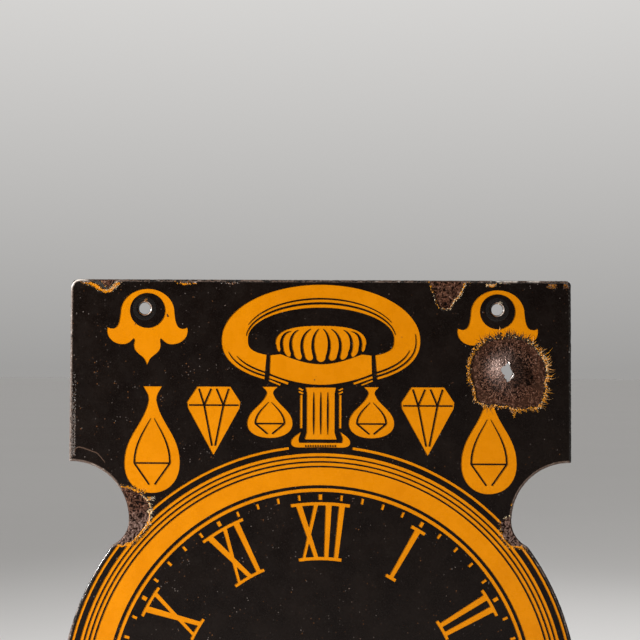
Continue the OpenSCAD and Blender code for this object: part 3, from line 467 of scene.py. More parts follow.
# The outer face is a grid of rings from the tear outwards, closer together near the tear, and the inner
# face is another one under it. The height is the bulge, its lips, long wrinkles and the scales of rust.
turn = full_turn(CRATER_SPOKES)
torn = tear_rim(turn) * (1 + 0.08 * line_waves(turn * 9, 3))
share = np.linspace(0, 1, CRATER_RINGS)[:, None] ** 1.12
distance = torn + (CRATER_REACH - torn) * share
x, z = round_about(SHOT, distance, turn)
inside = np.clip((BULGE_RADIUS + 1 - distance) / 8, 0, 1)
lip_turn = np.degrees(turn)
lip = LIP_BASE
for lip_way, half_width, tall in LIPS:
    lip = lip + tall * hump(off_way(lip_turn, lip_way), half_width)
lip = lip + 0.25 * line_waves(turn * 7, 8)
lip_height = lip * np.exp(-(distance - torn) / 1.1)
rust = scaled_rust(x * SCALE_FINENESS, z * SCALE_FINENESS, 21)
wrinkle = waves(turn * 6.2, distance / 9, 31) * 0.22 + waves(x / 3.1, z / 3.1, 37) * 0.12
outer = STEEL_FACE + 0.01 + bell(distance) + lip_height + inside * wrinkle
outer = outer + (rust - 0.5) * SCALE_HEIGHT * np.where(distance > BULGE_RADIUS, 0.7, 1.0)
thickness = 2 * STEEL_FACE - 0.9 * np.exp(-(distance - torn) / 2.2)
inner_rust = scaled_rust(x + 60, z - 40, 45)
inner = outer - thickness - 0.02 - (inner_rust - 0.5) * 0.12
inner = np.where(distance > BULGE_RADIUS, -STEEL_FACE - 0.01 - (inner_rust - 0.5) * 0.1, inner)
outer[-1] = STEEL_FACE - SUNK
inner[-1] = -STEEL_FACE + SUNK
lean = 0.35 * lip_height
outer_face = face_points(x - lean * np.cos(turn), z - lean * np.sin(turn), outer)
crater_points = np.concatenate([outer_face[::-1], face_points(x, z, inner)])
crater_relief = np.concatenate([rust[::-1], inner_rust])
# Steel rubbed bright round the tear, with a painted highlight on the side toward the lamp.
rubbed_and_highlit = hump(distance - torn - 2, 7) * np.clip(0.4 + 0.9 * rust, 0, 1)
rubbed_and_highlit = rubbed_and_highlit * (0.15 + 0.85 * hump(off_way(lip_turn, HIGHLIT_SIDE), HIGHLIT_HALF))
crater_bright = np.concatenate([rubbed_and_highlit[::-1], 0.5 * rubbed_and_highlit])
spoke = np.arange(CRATER_SPOKES)
after = (spoke + 1) % CRATER_SPOKES
last_ring = (2 * CRATER_RINGS - 1) * CRATER_SPOKES
crater_faces = np.concatenate([
    grid_faces(2 * CRATER_RINGS, CRATER_SPOKES, closed=True),
    np.stack([last_ring + spoke, last_ring + after, after, spoke], -1),
])
crater = new_piece(
    "shot_bulge", crater_points, crater_faces, rusted_steel,
    relief=crater_relief.ravel(), bright=crater_bright.ravel(),
)
close_openings(crater)
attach(crater, "root")
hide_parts("steel_core")


# Torn lips: two slivers of the sheet at the hole's rim, curled out by the ball and rubbed bright. Each is a
# thin ribbon that follows the rim and rolls outwards, highest at its middle.

# Each sliver's name, its first and last way, the radius that it rolls to and how far it lifts
SLIVERS = (("low", -78, -4, 1.35, 1.3), ("high", 58, 96, 0.75, 0.9))
SLIVER_STATIONS = 40
SLIVER_STEPS = 14
SLIVER_ROLL = 165
SLIVER_WALL = 0.35


def thicken(piece, wall):
    """Gives a piece that is one sheet of faces a wall in millimetres, behind it."""
    solid = piece.modifiers.new("wall", "SOLIDIFY")
    solid.thickness = wall * TO_METRES


bright_steel, tree, shader, place = new_material("bright_steel", Metallic=0.8, Roughness=0.34)
streak = noise(tree, place, 1400, 3, 0.6)
streaked = mix_colour(tree, stretch(tree, streak, 0.35, 0.7), (0.62, 0.56, 0.52), (0.26, 0.19, 0.16))
set_inputs(tree, shader, Base_Color=streaked)
for name, start, end, roll, lift in SLIVERS:
    turn = np.radians(np.linspace(start, end, SLIVER_STATIONS))[:, None]
    rim = tear_rim(turn)
    size = roll * np.sin(np.linspace(0.12, np.pi - 0.12, SLIVER_STATIONS))[:, None] ** 0.7
    bend = np.radians(np.linspace(0, SLIVER_ROLL, SLIVER_STEPS))[None, :]
    out = rim - 0.15 + size * (1 - np.cos(bend)) * 0.8
    up = STEEL_FACE + bell(rim) + lift * size * np.sin(bend) + 0.25 * size * waves(turn * 14, bend * 1.3, 55)
    ribbon = face_points(*round_about(SHOT, out, turn), up)
    sliver = new_piece(f"torn_lip_{name}", ribbon, grid_faces(SLIVER_STATIONS, SLIVER_STEPS), bright_steel)
    thicken(sliver, SLIVER_WALL)
    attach(sliver, "root")


# Enamels: glass fired on the steel. Each is glossy, with a fine orange peel over slow waves, a haze of fine
# dust and scuffs, and scattered specks. The specks are denser towards the panel's left side.

# Between these places, in metres, the specks thin out from left to right by this much of their noise
SPECKS_DENSE = -0.18
SPECKS_THIN = 0.10
SPECKS_MORE = 0.045
# How far the roughness rises from an enamel's gloss where it is scuffed
SCUFFED = 0.22


def enamel(name, deep, light, speck, rusty_speck, speck_from, gloss, haze, **sockets):
    """A fired enamel: two tones that drift, dust over them, and specks at the middles of random cells."""
    material, tree, shader, place = new_material(name, **sockets)
    drift = stretch(tree, noise(tree, place, 45, 4, 0.55), 0.3, 0.7)
    mottled = mix_colour(tree, drift, deep, light)
    across = shader_node(tree, "ShaderNodeSeparateXYZ", Vector=place).outputs["X"]
    dusty = stretch(tree, noise(tree, place, 900, 3, 0.7), 0.52, 0.75, 0.0, haze)
    mottled = mix_colour(tree, dusty, mottled, speck)
    cells = shader_node(tree, "ShaderNodeTexVoronoi", Vector=place, Scale=500.0)
    denser = stretch(tree, across, SPECKS_DENSE, SPECKS_THIN, SPECKS_MORE, 0.0)
    cluster = combined(tree, "ADD", noise(tree, place, 170, 4, 0.75), denser)
    some = stretch(tree, cluster, speck_from, speck_from + 0.06)
    dot = stretch(tree, cells.outputs["Distance"], 0.12, 0.26, 1.0, 0.0)
    shade = shader_node(tree, "ShaderNodeSeparateXYZ", Vector=cells.outputs["Color"]).outputs["X"]
    spotted = mix_colour(tree, stretch(tree, shade, 0.45, 0.6), speck, rusty_speck)
    specks = combined(tree, "MULTIPLY", dot, some)
    scuffs = stretch(tree, noise(tree, place, 90, 5, 0.7), 0.35, 0.75, gloss, gloss + SCUFFED)
    peel = bumps(tree, noise(tree, place, 420, 2), 0.35, 0.00006)
    wavy = bumps(tree, noise(tree, place, 14, 1), 0.4, 0.0010, Normal=peel)
    colour = mix_colour(tree, specks, mottled, spotted)
    set_inputs(tree, shader, Base_Color=colour, Roughness=scuffs, Normal=wavy)
    return material


black_enamel = enamel(
    "black_enamel", deep=(0.0042, 0.0023, 0.0017), light=(0.0080, 0.0048, 0.0035),
    speck=(0.16, 0.13, 0.115), rusty_speck=(0.17, 0.065, 0.022),
    speck_from=0.58, gloss=0.18, haze=0.045, Specular_IOR_Level=0.14,
)
amber_enamel = enamel(
    "amber_enamel", deep=(0.62, 0.195, 0.0003), light=(0.69, 0.225, 0.0004),
    speck=(0.22, 0.06, 0.004), rusty_speck=(0.12, 0.035, 0.006),
    speck_from=0.70, gloss=0.2, haze=0.08, Specular_IOR_Level=0.12,
)
ground_enamel = enamel(
    "ground_enamel", deep=(0.010, 0.009, 0.008), light=(0.024, 0.021, 0.019),
    speck=(0.20, 0.19, 0.18), rusty_speck=(0.10, 0.06, 0.03),
    speck_from=0.54, gloss=0.35, haze=0.4, Specular_IOR_Level=0.4,
)
for name, cad_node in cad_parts.items():
    if name.startswith("ground_coat"):
        cad_node.material_slots[0].material = ground_enamel
    elif name.startswith("amber_coat"):
        cad_node.material_slots[0].material = amber_enamel
    elif name not in ("steel_core", "edge_coat"):
        cad_node.material_slots[0].material = black_enamel


# What is left of the sheet's rim: a rounded bead of base enamel all round the cut edge, where every coat
# ends. It is worn along the left side and rusty in the coves, and gone where a chip reaches the edge. More
# wear on the lit left and almost none on the shaded right also paint light and shade on its sides. It has
# painted highlights at the top-left corner and along the top.
HALF_WIDTH = 180.0
TOP = 20.7
CORNER_LEFT = 6.5
CORNER_RIGHT = 3.0
WAIST_X = 137.0
DIAL_CENTRE = -280.0
DIAL_RADIUS = 184.9
COVE = 42.0
COVE_LOW = 20.0
COVE_BITE = 2.2
OUTLINE_STEP = 0.8
# The bead's section is a half round in steps between two shoulders, and a skirt beyond each that goes into
# the coats. Given are how far in the shoulders and skirts lie, how far the round stands out from the
# shoulders, and heights from the sheet's middle, first with the coats and then where they are gone.
BEAD_STEPS = 15
BEAD_STATIONS = BEAD_STEPS + 2
BEAD_SHOULDER_IN = 1.0
BEAD_SKIRT_IN = 2.2
BEAD_DEPTH = 1.32
BEAD_ROUND = 1.45
BEAD_SHOULDER = 1.41
BEAD_SKIRT = 1.385
BARE_ROUND = 0.80
BARE_SKIRT = 0.74
# How far inside the outline a coat is looked for
COAT_PROBE = 2.4
# Whether a face is the back, and its name in the nodes' names
FACES = {False: "front", True: "back"}
# Where the rim of the top edge is painted pale, as runs of X: flaked spots and a painted highlight on the
# lit top
PALE_RUNS = ((-176, -168), (126.5, 141.5), (149, 157.5))
WAIST_Z = DIAL_CENTRE + math.sqrt((DIAL_RADIUS + COVE_LOW - COVE_BITE) ** 2 - (WAIST_X + COVE_LOW) ** 2)


def arc(centre, radius, start, end):
    """Points round a circle from one angle in degrees to another, one outline step apart."""
    count = max(3, int(abs(math.radians(end - start)) * radius / OUTLINE_STEP))
    return np.stack(round_about(centre, radius, np.radians(np.linspace(start, end, count))), -1)


def half_outline(corner):
    """The right half of the outline: panel, corner of this radius, cove, the cove's low end and the dial."""
    cove_centre = (WAIST_X + COVE, WAIST_Z)
    low_centre = (WAIST_X + COVE_LOW, WAIST_Z)
    to_dial = math.degrees(math.atan2(DIAL_CENTRE - WAIST_Z, -low_centre[0])) % 360
    apart = DIAL_RADIUS + COVE_LOW - COVE_BITE
    cosine = (apart ** 2 + COVE_LOW ** 2 - DIAL_RADIUS ** 2) / (2 * apart * COVE_LOW)
    low_end = to_dial + math.degrees(math.acos(cosine))
    low = arc(low_centre, COVE_LOW, 180, low_end)
    dial_start = math.degrees(math.atan2(low[-1, 1] - DIAL_CENTRE, low[-1, 0]))
    cove_start = math.degrees(math.acos((HALF_WIDTH - cove_centre[0]) / COVE))
    return np.concatenate([
        [[0, TOP]],
        arc((HALF_WIDTH - corner, TOP - corner), corner, 90, 0),
        arc(cove_centre, COVE, cove_start, 180),
        low[1:],
        arc((0, DIAL_CENTRE), DIAL_RADIUS, dial_start, -90)[1:],
    ])


def points_along(places, run, line):
    """Points at some lengths along a line, where run holds the lengths at the line's own points."""
    return np.stack([np.interp(places, run, line[:, axis]) for axis in (0, 1)], -1)


def sheet_outline():
    """The sheet's whole outline, clockwise from the top, in even steps."""
    left = half_outline(CORNER_LEFT)[-2:0:-1] * [-1, 1]
    whole = np.concatenate([half_outline(CORNER_RIGHT), left, [[0, TOP]]])
    run = np.concatenate([[0], np.cumsum(np.hypot(*np.diff(whole, axis=0).T))])
    even = np.linspace(0, run[-1], int(run[-1] / OUTLINE_STEP), endpoint=False)
    return points_along(even, run, whole)


def blurred(values, width):
    """Running mean of values that lie round a closed line."""
    padded = np.concatenate([values[-width:], values, values[:width]])
    return np.convolve(padded, np.ones(2 * width + 1) / (2 * width + 1), "valid")


def coat_tree(names):
    """A search tree of some CAD nodes' triangles."""
    stacks = [triangles_of(name) for name in names]
    starts = np.cumsum([0] + [len(points) for points, _ in stacks])
    points = np.concatenate([points for points, _ in stacks])
    corners = np.concatenate([corners + start for (_, corners), start in zip(stacks, starts)])
    return BVHTree.FromPolygons(points.tolist(), corners.tolist())


def covered(tree, points, back):
    """Whether each place on a face, given as x and z, has one of the tree's coats over it."""
    start, way = (50, -1) if back else (-50, 1)
    hits = [tree.ray_cast((x, start, z), (0, way, 0))[0] is not None for x, z in points]
    return np.array(hits)


amber_tree = {back: coat_tree([f"amber_coat_{face}"]) for back, face in FACES.items()}
ground_tree = {back: coat_tree([f"ground_coat_{face}"]) for back, face in FACES.items()}
black_names = [
    name for name in sorted(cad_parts) if not name.startswith(("steel", "edge", "ground", "amber"))
]
black_tree = {
    back: coat_tree([name for name in black_names if name.endswith(face)]) for back, face in FACES.items()
}
outline = sheet_outline()
count = len(outline)
heading = np.roll(outline, -1, 0) - np.roll(outline, 1, 0)
heading = heading / np.hypot(heading[:, 0], heading[:, 1])[:, None]
inward = np.stack([heading[:, 1], -heading[:, 0]], -1)
probe = outline + inward * COAT_PROBE
lost = {back: blurred(1.0 - covered(amber_tree[back], probe, back), 2) for back in FACES}


def on_waist_arc(radius):
    """How near the outline is to a circle of this radius beside the waist: 1 on it, 0 a little off it."""
    apart = np.hypot(np.abs(outline[:, 0]) - WAIST_X - radius, outline[:, 1] - WAIST_Z)
    return hump(apart - radius, 0.6)


along = np.arange(count) * OUTLINE_STEP
in_cove = np.maximum(on_waist_arc(COVE), on_waist_arc(COVE_LOW))
on_left = (outline[:, 0] < -HALF_WIDTH + 2) * 1.0
on_right = (outline[:, 0] > HALF_WIDTH - 1) * 1.0
on_top = (outline[:, 1] > TOP - 3) * 1.0
at_left_corner = hump(np.hypot(outline[:, 0] + HALF_WIDTH - 2, outline[:, 1] - TOP + 2), 4.5)
phase = np.linspace(-90, 90, BEAD_STEPS)
nick = np.clip(line_waves(along / 2.3, 61) - 0.45, 0, 1) * 0.35
nick = nick + 0.05 * line_waves(along / 0.9, 63)
round_in = BEAD_SHOULDER_IN - BEAD_DEPTH * np.cos(np.radians(phase))
profile_in = np.concatenate([[BEAD_SKIRT_IN], round_in, [BEAD_SKIRT_IN]])
profile_up = np.concatenate([[-1.0], np.sin(np.radians(phase)), [1.0]])
station = np.arange(BEAD_STATIONS)[None, :]
gone = np.where(profile_up < 0, lost[False][:, None], lost[True][:, None])
level_up = np.where(np.abs(profile_up) >= 1, BEAD_SHOULDER, BEAD_ROUND)
height = profile_up * (level_up * (1 - gone) + BARE_ROUND * gone)
height[:, 0] = -(BEAD_SKIRT * (1 - lost[False]) + BARE_SKIRT * lost[False])
height[:, -1] = BEAD_SKIRT * (1 - lost[True]) + BARE_SKIRT * lost[True]
ripple = 0.07 * waves(along[:, None] / 1.7, station / 2.3, 67)
bulging = np.cos(np.radians(np.concatenate([[90], phase, [90]])))
inset = profile_in * (1 - 0.35 * gone) + nick[:, None] * bulging + ripple
bead_points = np.stack([
    outline[:, :1] + inward[:, :1] * inset,
    height,
    outline[:, 1:] + inward[:, 1:] * inset,
], -1)
# Wear with painted light and shade: heavier on the lit left side, far less on the shaded right.
wear_base = 0.50 + 0.35 * on_left + 0.55 * in_cove + 0.12 * on_top - 0.45 * on_right
wear = wear_base[:, None] + 0.35 * waves(along[:, None] / 3.1, station / 3.0, 71)
wear = np.clip(np.maximum(wear, gone * 1.2) - 0.25, 0, 1)
# Pale runs along the top: flaked enamel, with a painted highlight along the lit top edge.
flaked_and_highlit = np.zeros(count)
for start, end in PALE_RUNS:
    middle, half_run = (start + end) / 2, (end - start) / 2
    flaked_and_highlit = np.maximum(flaked_and_highlit, on_top * np.clip(half_run + 0.6 - np.abs(outline[:, 0] - middle), 0, 1))
ragged = 0.5 * line_waves(along / 1.3, 75)[:, None]
pale = flaked_and_highlit[:, None] * hump(station - 3.2, 1.5) * np.clip(0.9 + ragged, 0, 1)
# Painted highlight on the top-left corner, which faces the lamp.
pale = pale + 1.2 * at_left_corner[:, None] * hump(station - 4.2, 2.0)
flecks = waves(along[:, None] / 1.7, station / 2.0, 73) - 0.72 + 0.08 * on_left[:, None]
pale = pale + np.clip(flecks, 0, 0.3) * 2.0
pale = np.clip(pale, 0, 1) * (1 - gone)

edge_enamel, tree, shader, place = new_material("edge_enamel", Specular_IOR_Level=0.5)
# Brown where worn; on the bead's sides this also paints light on the left and shade on the right.
worn_and_side_lit = stored(tree, "wear")
bare_and_highlit = stored(tree, "pale")
crumb = noise(tree, place, 900, 4, 0.65)
brown = mix_colour(tree, stretch(tree, crumb, 0.35, 0.65), (0.050, 0.026, 0.016), (0.13, 0.085, 0.062))
broken_up = combined(tree, "ADD", worn_and_side_lit, stretch(tree, crumb, 0.3, 0.7, -0.3, 0.3))
rusty = stretch(tree, broken_up, 0.2, 0.5)
colour = mix_colour(tree, rusty, (0.010, 0.008, 0.007), brown)
# Pale where the bead is flaked and where highlights are painted on it.
colour = mix_colour(tree, bare_and_highlit, colour, (0.72, 0.64, 0.57))
rusty_gloss = stretch(tree, rusty, 0.0, 1.0, 0.18, 0.45)
set_inputs(tree, shader, Base_Color=colour, Roughness=rusty_gloss, Normal=bumps(tree, crumb, 0.5, 0.00015))

# The bead's faces: its grid, the step from the outline's end to its start, and the wall under the coats
step = np.arange(BEAD_STATIONS - 1)
last = (count - 1) * BEAD_STATIONS
start = np.arange(count) * BEAD_STATIONS
after = (np.arange(count) + 1) % count * BEAD_STATIONS
inner = BEAD_STATIONS - 1
bead_faces = np.concatenate([
    grid_faces(count, BEAD_STATIONS),
    np.stack([last + step, last + step + 1, step + 1, step], -1),
    np.stack([start, after, after + inner, start + inner], -1),
])
bead = new_piece("edge_bead", bead_points, bead_faces, edge_enamel, wear=wear.ravel(), pale=pale.ravel())
close_openings(bead)
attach(bead, "root")
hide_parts("edge_coat")


# Rust in the chips: where a chip goes down to the steel, the sheet is rough with scaled rust, which runs a
# little way under the coats. Four chips on each face are that deep, besides the shot.
RUST_STEP = 0.4
RUST_UNDER = 0.7
RUST_FOOT = 0.02
RUST_HEIGHT = 0.62
RUST_FINENESS = 1.2
RUST_WALL = 0.4
# Each chip's name, and a box round it as two corners in X and Z
CHIPS = (
    ("top_small", (-172, 9), (-140, 20.4)), ("top_large", (72, -4), (110, 20.4)),
    ("cove_left", (-160, -185), (-118, -122)), ("cove_right", (126, -175), (152, -138)),
)
# Below this height the coves' bare steel is rubbed grey
RUBBED_BELOW = -142
# Places are tested so many at a time, to save memory
BATCH = 4000


def inside_sheet(points, margin):
    """Whether each place lies inside the outline by a margin, by the nearest point of the outline."""
    answer = np.zeros(len(points), bool)
    for start in range(0, len(points), BATCH):
        part = points[start:start + BATCH]
        apart = part[:, None, :] - outline[None, ::2, :]
        near = np.argmin((apart ** 2).sum(-1), 1)
        step = apart[np.arange(len(part)), near]
        answer[start:start + BATCH] = (step * inward[::2][near]).sum(-1) > margin
    return answer


def shown_coat(points, back):
    """The coat that shows at each place on a face: 0 for bare steel, 1 ground, 2 amber and 3 black."""
    coat = np.zeros(len(points), int)
    for number, tree in enumerate((ground_tree, amber_tree, black_tree), 1):
        coat[covered(tree[back], points, back)] = number
    return coat


def rust_patch(name, low, high, back, seed):
    """A rough sheet over a chip's bare steel: a square grid of scale heights, kept on it and beside it."""
    across = np.arange(low[0], high[0], RUST_STEP)
    along = np.arange(low[1], high[1], RUST_STEP)
    x, z = np.meshgrid(across, along)
    middles = np.stack([x[:-1, :-1] + RUST_STEP / 2, z[:-1, :-1] + RUST_STEP / 2], -1).reshape(-1, 2)
    keep = inside_sheet(middles, 0.5)
    near_bare = np.zeros(len(middles), bool)
    for shift in ((0, 0), (1, 0), (-1, 0), (0, 1), (0, -1)):
        near_bare |= ~covered(ground_tree[back], middles + np.array(shift) * RUST_UNDER, back)
    keep &= near_bare
    faces = grid_faces(len(along), len(across))[keep]
    rust = scaled_rust(x * RUST_FINENESS, z * RUST_FINENESS, seed)
    points = face_points(x, z, STEEL_FACE + RUST_FOOT + RUST_HEIGHT * rust, back).reshape(-1, 3)
    used, faces = np.unique(faces, return_inverse=True)
    faces = faces.reshape(-1, 4)
    if back:
        faces = faces[:, ::-1]
    shown = rust.ravel()[used]
    rubbed_and_highlit = np.clip(1.7 * shown - 0.6, 0, 1) * np.clip((RUBBED_BELOW - points[used, 2]) / 12, 0, 1)
    piece = new_piece(name, points[used], faces, rusted_steel, relief=shown, bright=rubbed_and_highlit)
    thicken(piece, RUST_WALL)
    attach(piece, "root")


for back, face in FACES.items():
    for name, low, high in CHIPS:
        rust_patch(f"rust_{name}_{face}", low, high, back, 81 if back else 83)


# Hole collars: the enamel sags over the punched hole's edge and lines it. The rim is chipped at the top,
# and painted pale on its lower right, where the wall faces the lamp: a painted highlight.

# The chip's way round the hole and its half width, then the painted highlight's way and fade, all in degrees
CHIP_WAY = 78
CHIP_HALF = 26
HIGHLIGHT_WAY = -20
HIGHLIGHT_FADE = 75
# The collar's front half, as distances from the hole's middle and heights from the sheet's middle
COLLAR_PROFILE = np.array([
    [8.6, 1.395], [8.2, 1.405], [7.5, 1.41], [6.8, 1.413], [6.2, 1.41], [5.8, 1.395], [5.4, 1.34],
    [5.0, 1.22], [4.6, 1.02], [4.3, 0.75], [4.1, 0.42], [4.0, 0],
])
COLLAR_SPOKES = 96
# How far from the hole's middle the rim is worn and where the painted highlight lies, and the width of each
WORN_REACH = 4.7
WORN_WIDTH = 0.8
PALE_REACH = 4.85
PALE_WIDTH = 0.42
for side, centre in (("left", HOLES[0]), ("right", HOLES[1])):
    profile = np.concatenate([COLLAR_PROFILE * [1, -1], COLLAR_PROFILE[-2::-1]])
    turn = full_turn(COLLAR_SPOKES)
    swell = 1 + 0.02 * waves(turn * 3, profile[:, 1:] * 0 + len(side), 91)
    x, z = round_about(centre, profile[:, :1] * swell, turn)
    ring = np.stack([x, np.broadcast_to(profile[:, 1:], x.shape), z], -1)
    round_way = np.degrees(turn)
    near_chip = hump(off_way(round_way, CHIP_WAY), CHIP_HALF)
    # Painted highlight: a pale arc on the lower right of the hole's wall, which faces the lamp.
    rubbed_and_highlit = np.clip(1.3 - np.abs(off_way(round_way, HIGHLIGHT_WAY)) / HIGHLIGHT_FADE, 0, 1)
    inner = hump(profile[:, :1] - WORN_REACH, WORN_WIDTH)
    wear = np.clip(near_chip * inner * 1.5 + 0.3 * waves(turn * 5, profile[:, 1:], 93) - 0.2, 0, 1)
    broken = 0.75 + 0.6 * waves(turn * 6, profile[:, :1] / 0.5, 95)
    pale = rubbed_and_highlit * hump(profile[:, :1] - PALE_REACH, PALE_WIDTH) * np.clip(broken, 0, 1)
    pale = np.clip(pale + near_chip * inner * np.clip(waves(turn * 9, profile[:, :1], 97), 0, 1), 0, 1)
    pale = np.where(profile[:, 1:] < 0, pale, 0.3 * pale)
    collar = new_piece(
        f"hole_collar_{side}", ring, grid_faces(len(profile), COLLAR_SPOKES, closed=True), edge_enamel,
        wear=wear.ravel(), pale=pale.ravel(),
    )
    close_openings(collar)
    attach(collar, "root")


# Splintered fringe: round the shot the coats end in hairs of glass, amber ones out over the black and dark
# ones out over the amber. The amber ones are longest to the right, and the dark ones above and below the
# shot, where no black is near.
GROUND_LEVEL = 0.90
AMBER_LEVEL = 1.15
BLACK_LEVEL = 1.40
HAIRS = 520
HAIR_STATIONS = 7
AMBER_HAIR_MOST = 6.5
DARK_HAIR_MOST = 5.5
HAIR_LEAST = 0.8
# A hair's height over its coat at the root beyond that at the tip, its half width at the tip, and how deep
# its foot goes into the coat
HAIR_HEIGHT = 0.16
TIP_HEIGHT = 0.03
TIP_HALF = 0.02
HAIR_SUNK = 0.06
# Hairs begin this far on the shot's side of the edge of the coat that they run over
AMBER_ROOT = 0.8
DARK_ROOT = 0.6
# The black counts as near where it begins less than this far outside the amber's edge
NEAR_BLACK = 4
# Coats are looked for between these distances from the shot's middle, in these steps
LOOK_FROM = 17
LOOK_TO = 40
LOOK_STEP = 0.3
AMBER_TINT = np.array([0.74, 0.28, 0.003])
CREAM_TINT = np.array([0.78, 0.60, 0.36])
BROWN_TINT = np.array([0.20, 0.075, 0.018])
DARK_TINT = np.array([0.022, 0.014, 0.010])
GREY_TINT = np.array([0.30, 0.27, 0.25])


def broken_glass(name, roughness, specular):
    """Glass broken open: its own tint at each point, with darker grains."""
    material, tree, shader, place = new_material(name, Roughness=roughness, Specular_IOR_Level=specular)
    tint = stored(tree, "tint", "Vector")
    grain = noise(tree, place, 1800, 3, 0.6)
    shade = mix_colour(tree, stretch(tree, grain, 0.35, 0.7, 1.0, 0.55), (0, 0, 0), tint)
    set_inputs(tree, shader, Base_Color=shade, Normal=bumps(tree, grain, 0.4, 0.0001))
    return material


bright_glass = broken_glass("bright_broken_glass", 0.35, 0.2)
dark_glass = broken_glass("dark_broken_glass", 0.7, 0.12)


def coat_start(tree, turn, back):
    """How far from the shot's middle a coat begins in each direction, looked for in small steps outwards."""
    out = np.arange(LOOK_FROM, LOOK_TO, LOOK_STEP)
    spots = np.stack(round_about(SHOT, out, turn[:, None]), -1)
    found = covered(tree, spots.reshape(-1, 2), back).reshape(len(turn), len(out))
    return np.where(found.any(1), out[np.argmax(found, 1)], LOOK_TO)


def splinters(name, root, way, length, width, curl, level, colour, material, back):
    """Curved wedges: each runs from its root along its way, bends aside more and more, and thins out."""
    count = len(root)
    t = np.linspace(0, 1, HAIR_STATIONS)[None, :, None]
    aside = np.stack([-way[:, 1], way[:, 0]], -1)[:, None, :]
    run = length[:, None, None]
    line = root[:, None, :] + way[:, None, :] * run * t + aside * curl[:, None, None] * run * t ** 2
    half = 0.5 * width[:, None, None] * (1 - t) ** 0.75 + TIP_HALF
    top = np.broadcast_to(level + HAIR_HEIGHT * (1 - t[..., 0]) + TIP_HEIGHT, half.shape[:2])
    foot = np.full_like(top, level - HAIR_SUNK)
    corners = []
    for shift, height in ((-1, foot), (0, top), (1, foot)):
        flat = line + aside * half * shift
        corners.append(face_points(flat[..., 0], flat[..., 1], height, back))
    points = np.stack(corners, 2)
    base = np.arange(count)[:, None, None] * HAIR_STATIONS * 3
    here = base + np.arange(HAIR_STATIONS - 1)[None, :, None] * 3
    corner = np.arange(3)[None, None, :]
    after = (corner + 1) % 3
    sides = np.stack([here + corner, here + after, here + 3 + after, here + 3 + corner], -1)
    tints = np.repeat(colour[:, None, :], HAIR_STATIONS * 3, 1).reshape(-1, 3)
    piece = new_piece(name, points, sides.reshape(-1, 4), material, smooth=False, tint=tints)
    close_openings(piece, capped=True)
    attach(piece, "root")
    return piece


def blend(low, high, share):
    """Tints between two tints, by a share for each."""
    return low * (1 - share[:, None]) + high * share[:, None]


for back, face in FACES.items():
    draw = np.random.default_rng(7 if back else 5)
    turn = full_turn(HAIRS) + draw.uniform(-0.012, 0.012, HAIRS)
    amber_edge = coat_start(amber_tree[back], turn, back)
    black_edge = coat_start(black_tree[back], turn, back)
    lean = turn + draw.normal(0, 0.25, HAIRS)
    way = np.stack([np.cos(lean), np.sin(lean)], -1)
    curl = draw.normal(0.15, 0.38, HAIRS)
    share = draw.uniform(0, 1, HAIRS)

    near_black = black_edge < amber_edge + NEAR_BLACK
    toward_right = np.clip(np.cos(turn - 0.1), 0, 1)
    length = HAIR_LEAST + draw.gamma(2.0, 0.55, HAIRS) * (0.7 + 2.0 * toward_right)
    picked = near_black & (draw.uniform(0, 1, HAIRS) < 0.6)
    root = np.stack(round_about(SHOT, black_edge - AMBER_ROOT, turn), -1)
    piece = splinters(
        f"amber_splinters_{face}", root[picked], way[picked], np.minimum(length, AMBER_HAIR_MOST)[picked],
        draw.uniform(0.3, 0.75, HAIRS)[picked], curl[picked], BLACK_LEVEL,
        blend(AMBER_TINT, CREAM_TINT, share ** 3 * 0.8)[picked], bright_glass, back,
    )

    up_or_down = np.abs(np.sin(turn))
    length = HAIR_LEAST + draw.gamma(2.0, 0.6, HAIRS) * (0.6 + 2.4 * up_or_down * ~near_black)
    root = np.stack(round_about(SHOT, amber_edge - DARK_ROOT, turn), -1)
    piece = splinters(
        f"dark_splinters_{face}", root, way, np.minimum(length, DARK_HAIR_MOST),
        draw.uniform(0.4, 1.1, HAIRS), curl, AMBER_LEVEL,
        blend(DARK_TINT * 0.7, DARK_TINT * 2.5, share), dark_glass, back,
    )


# Crumbs: along the broken edges the glass has burst into grains, most of them amber or cream where the amber
# shows, and dark on the black. They lie round the four large chips and the shot, on both faces.
MAP_STEP = 0.3
# Crumbs lie within so many map steps of a coat's edge, and of bare steel or ground, this far inside the
# outline, and are moved aside by up to this much
EDGE_STEPS = 2
DAMAGE_STEPS = 7
CRUMB_INSIDE = 1.2
CRUMB_SHIFT = 0.25
# Higher than this over the shot's middle most crumbs on the amber are dark
DARK_ABOVE = 14
CRUMB_CORNERS = np.array([[1, 0, 0], [-1, 0, 0], [0, 1, 0], [0, -1, 0], [0, 0, 1], [0, 0, -1]])
CRUMB_FACES = np.array([
    [0, 2, 4], [2, 1, 4], [1, 3, 4], [3, 0, 4], [2, 0, 5], [1, 2, 5], [3, 1, 5], [0, 3, 5],
])


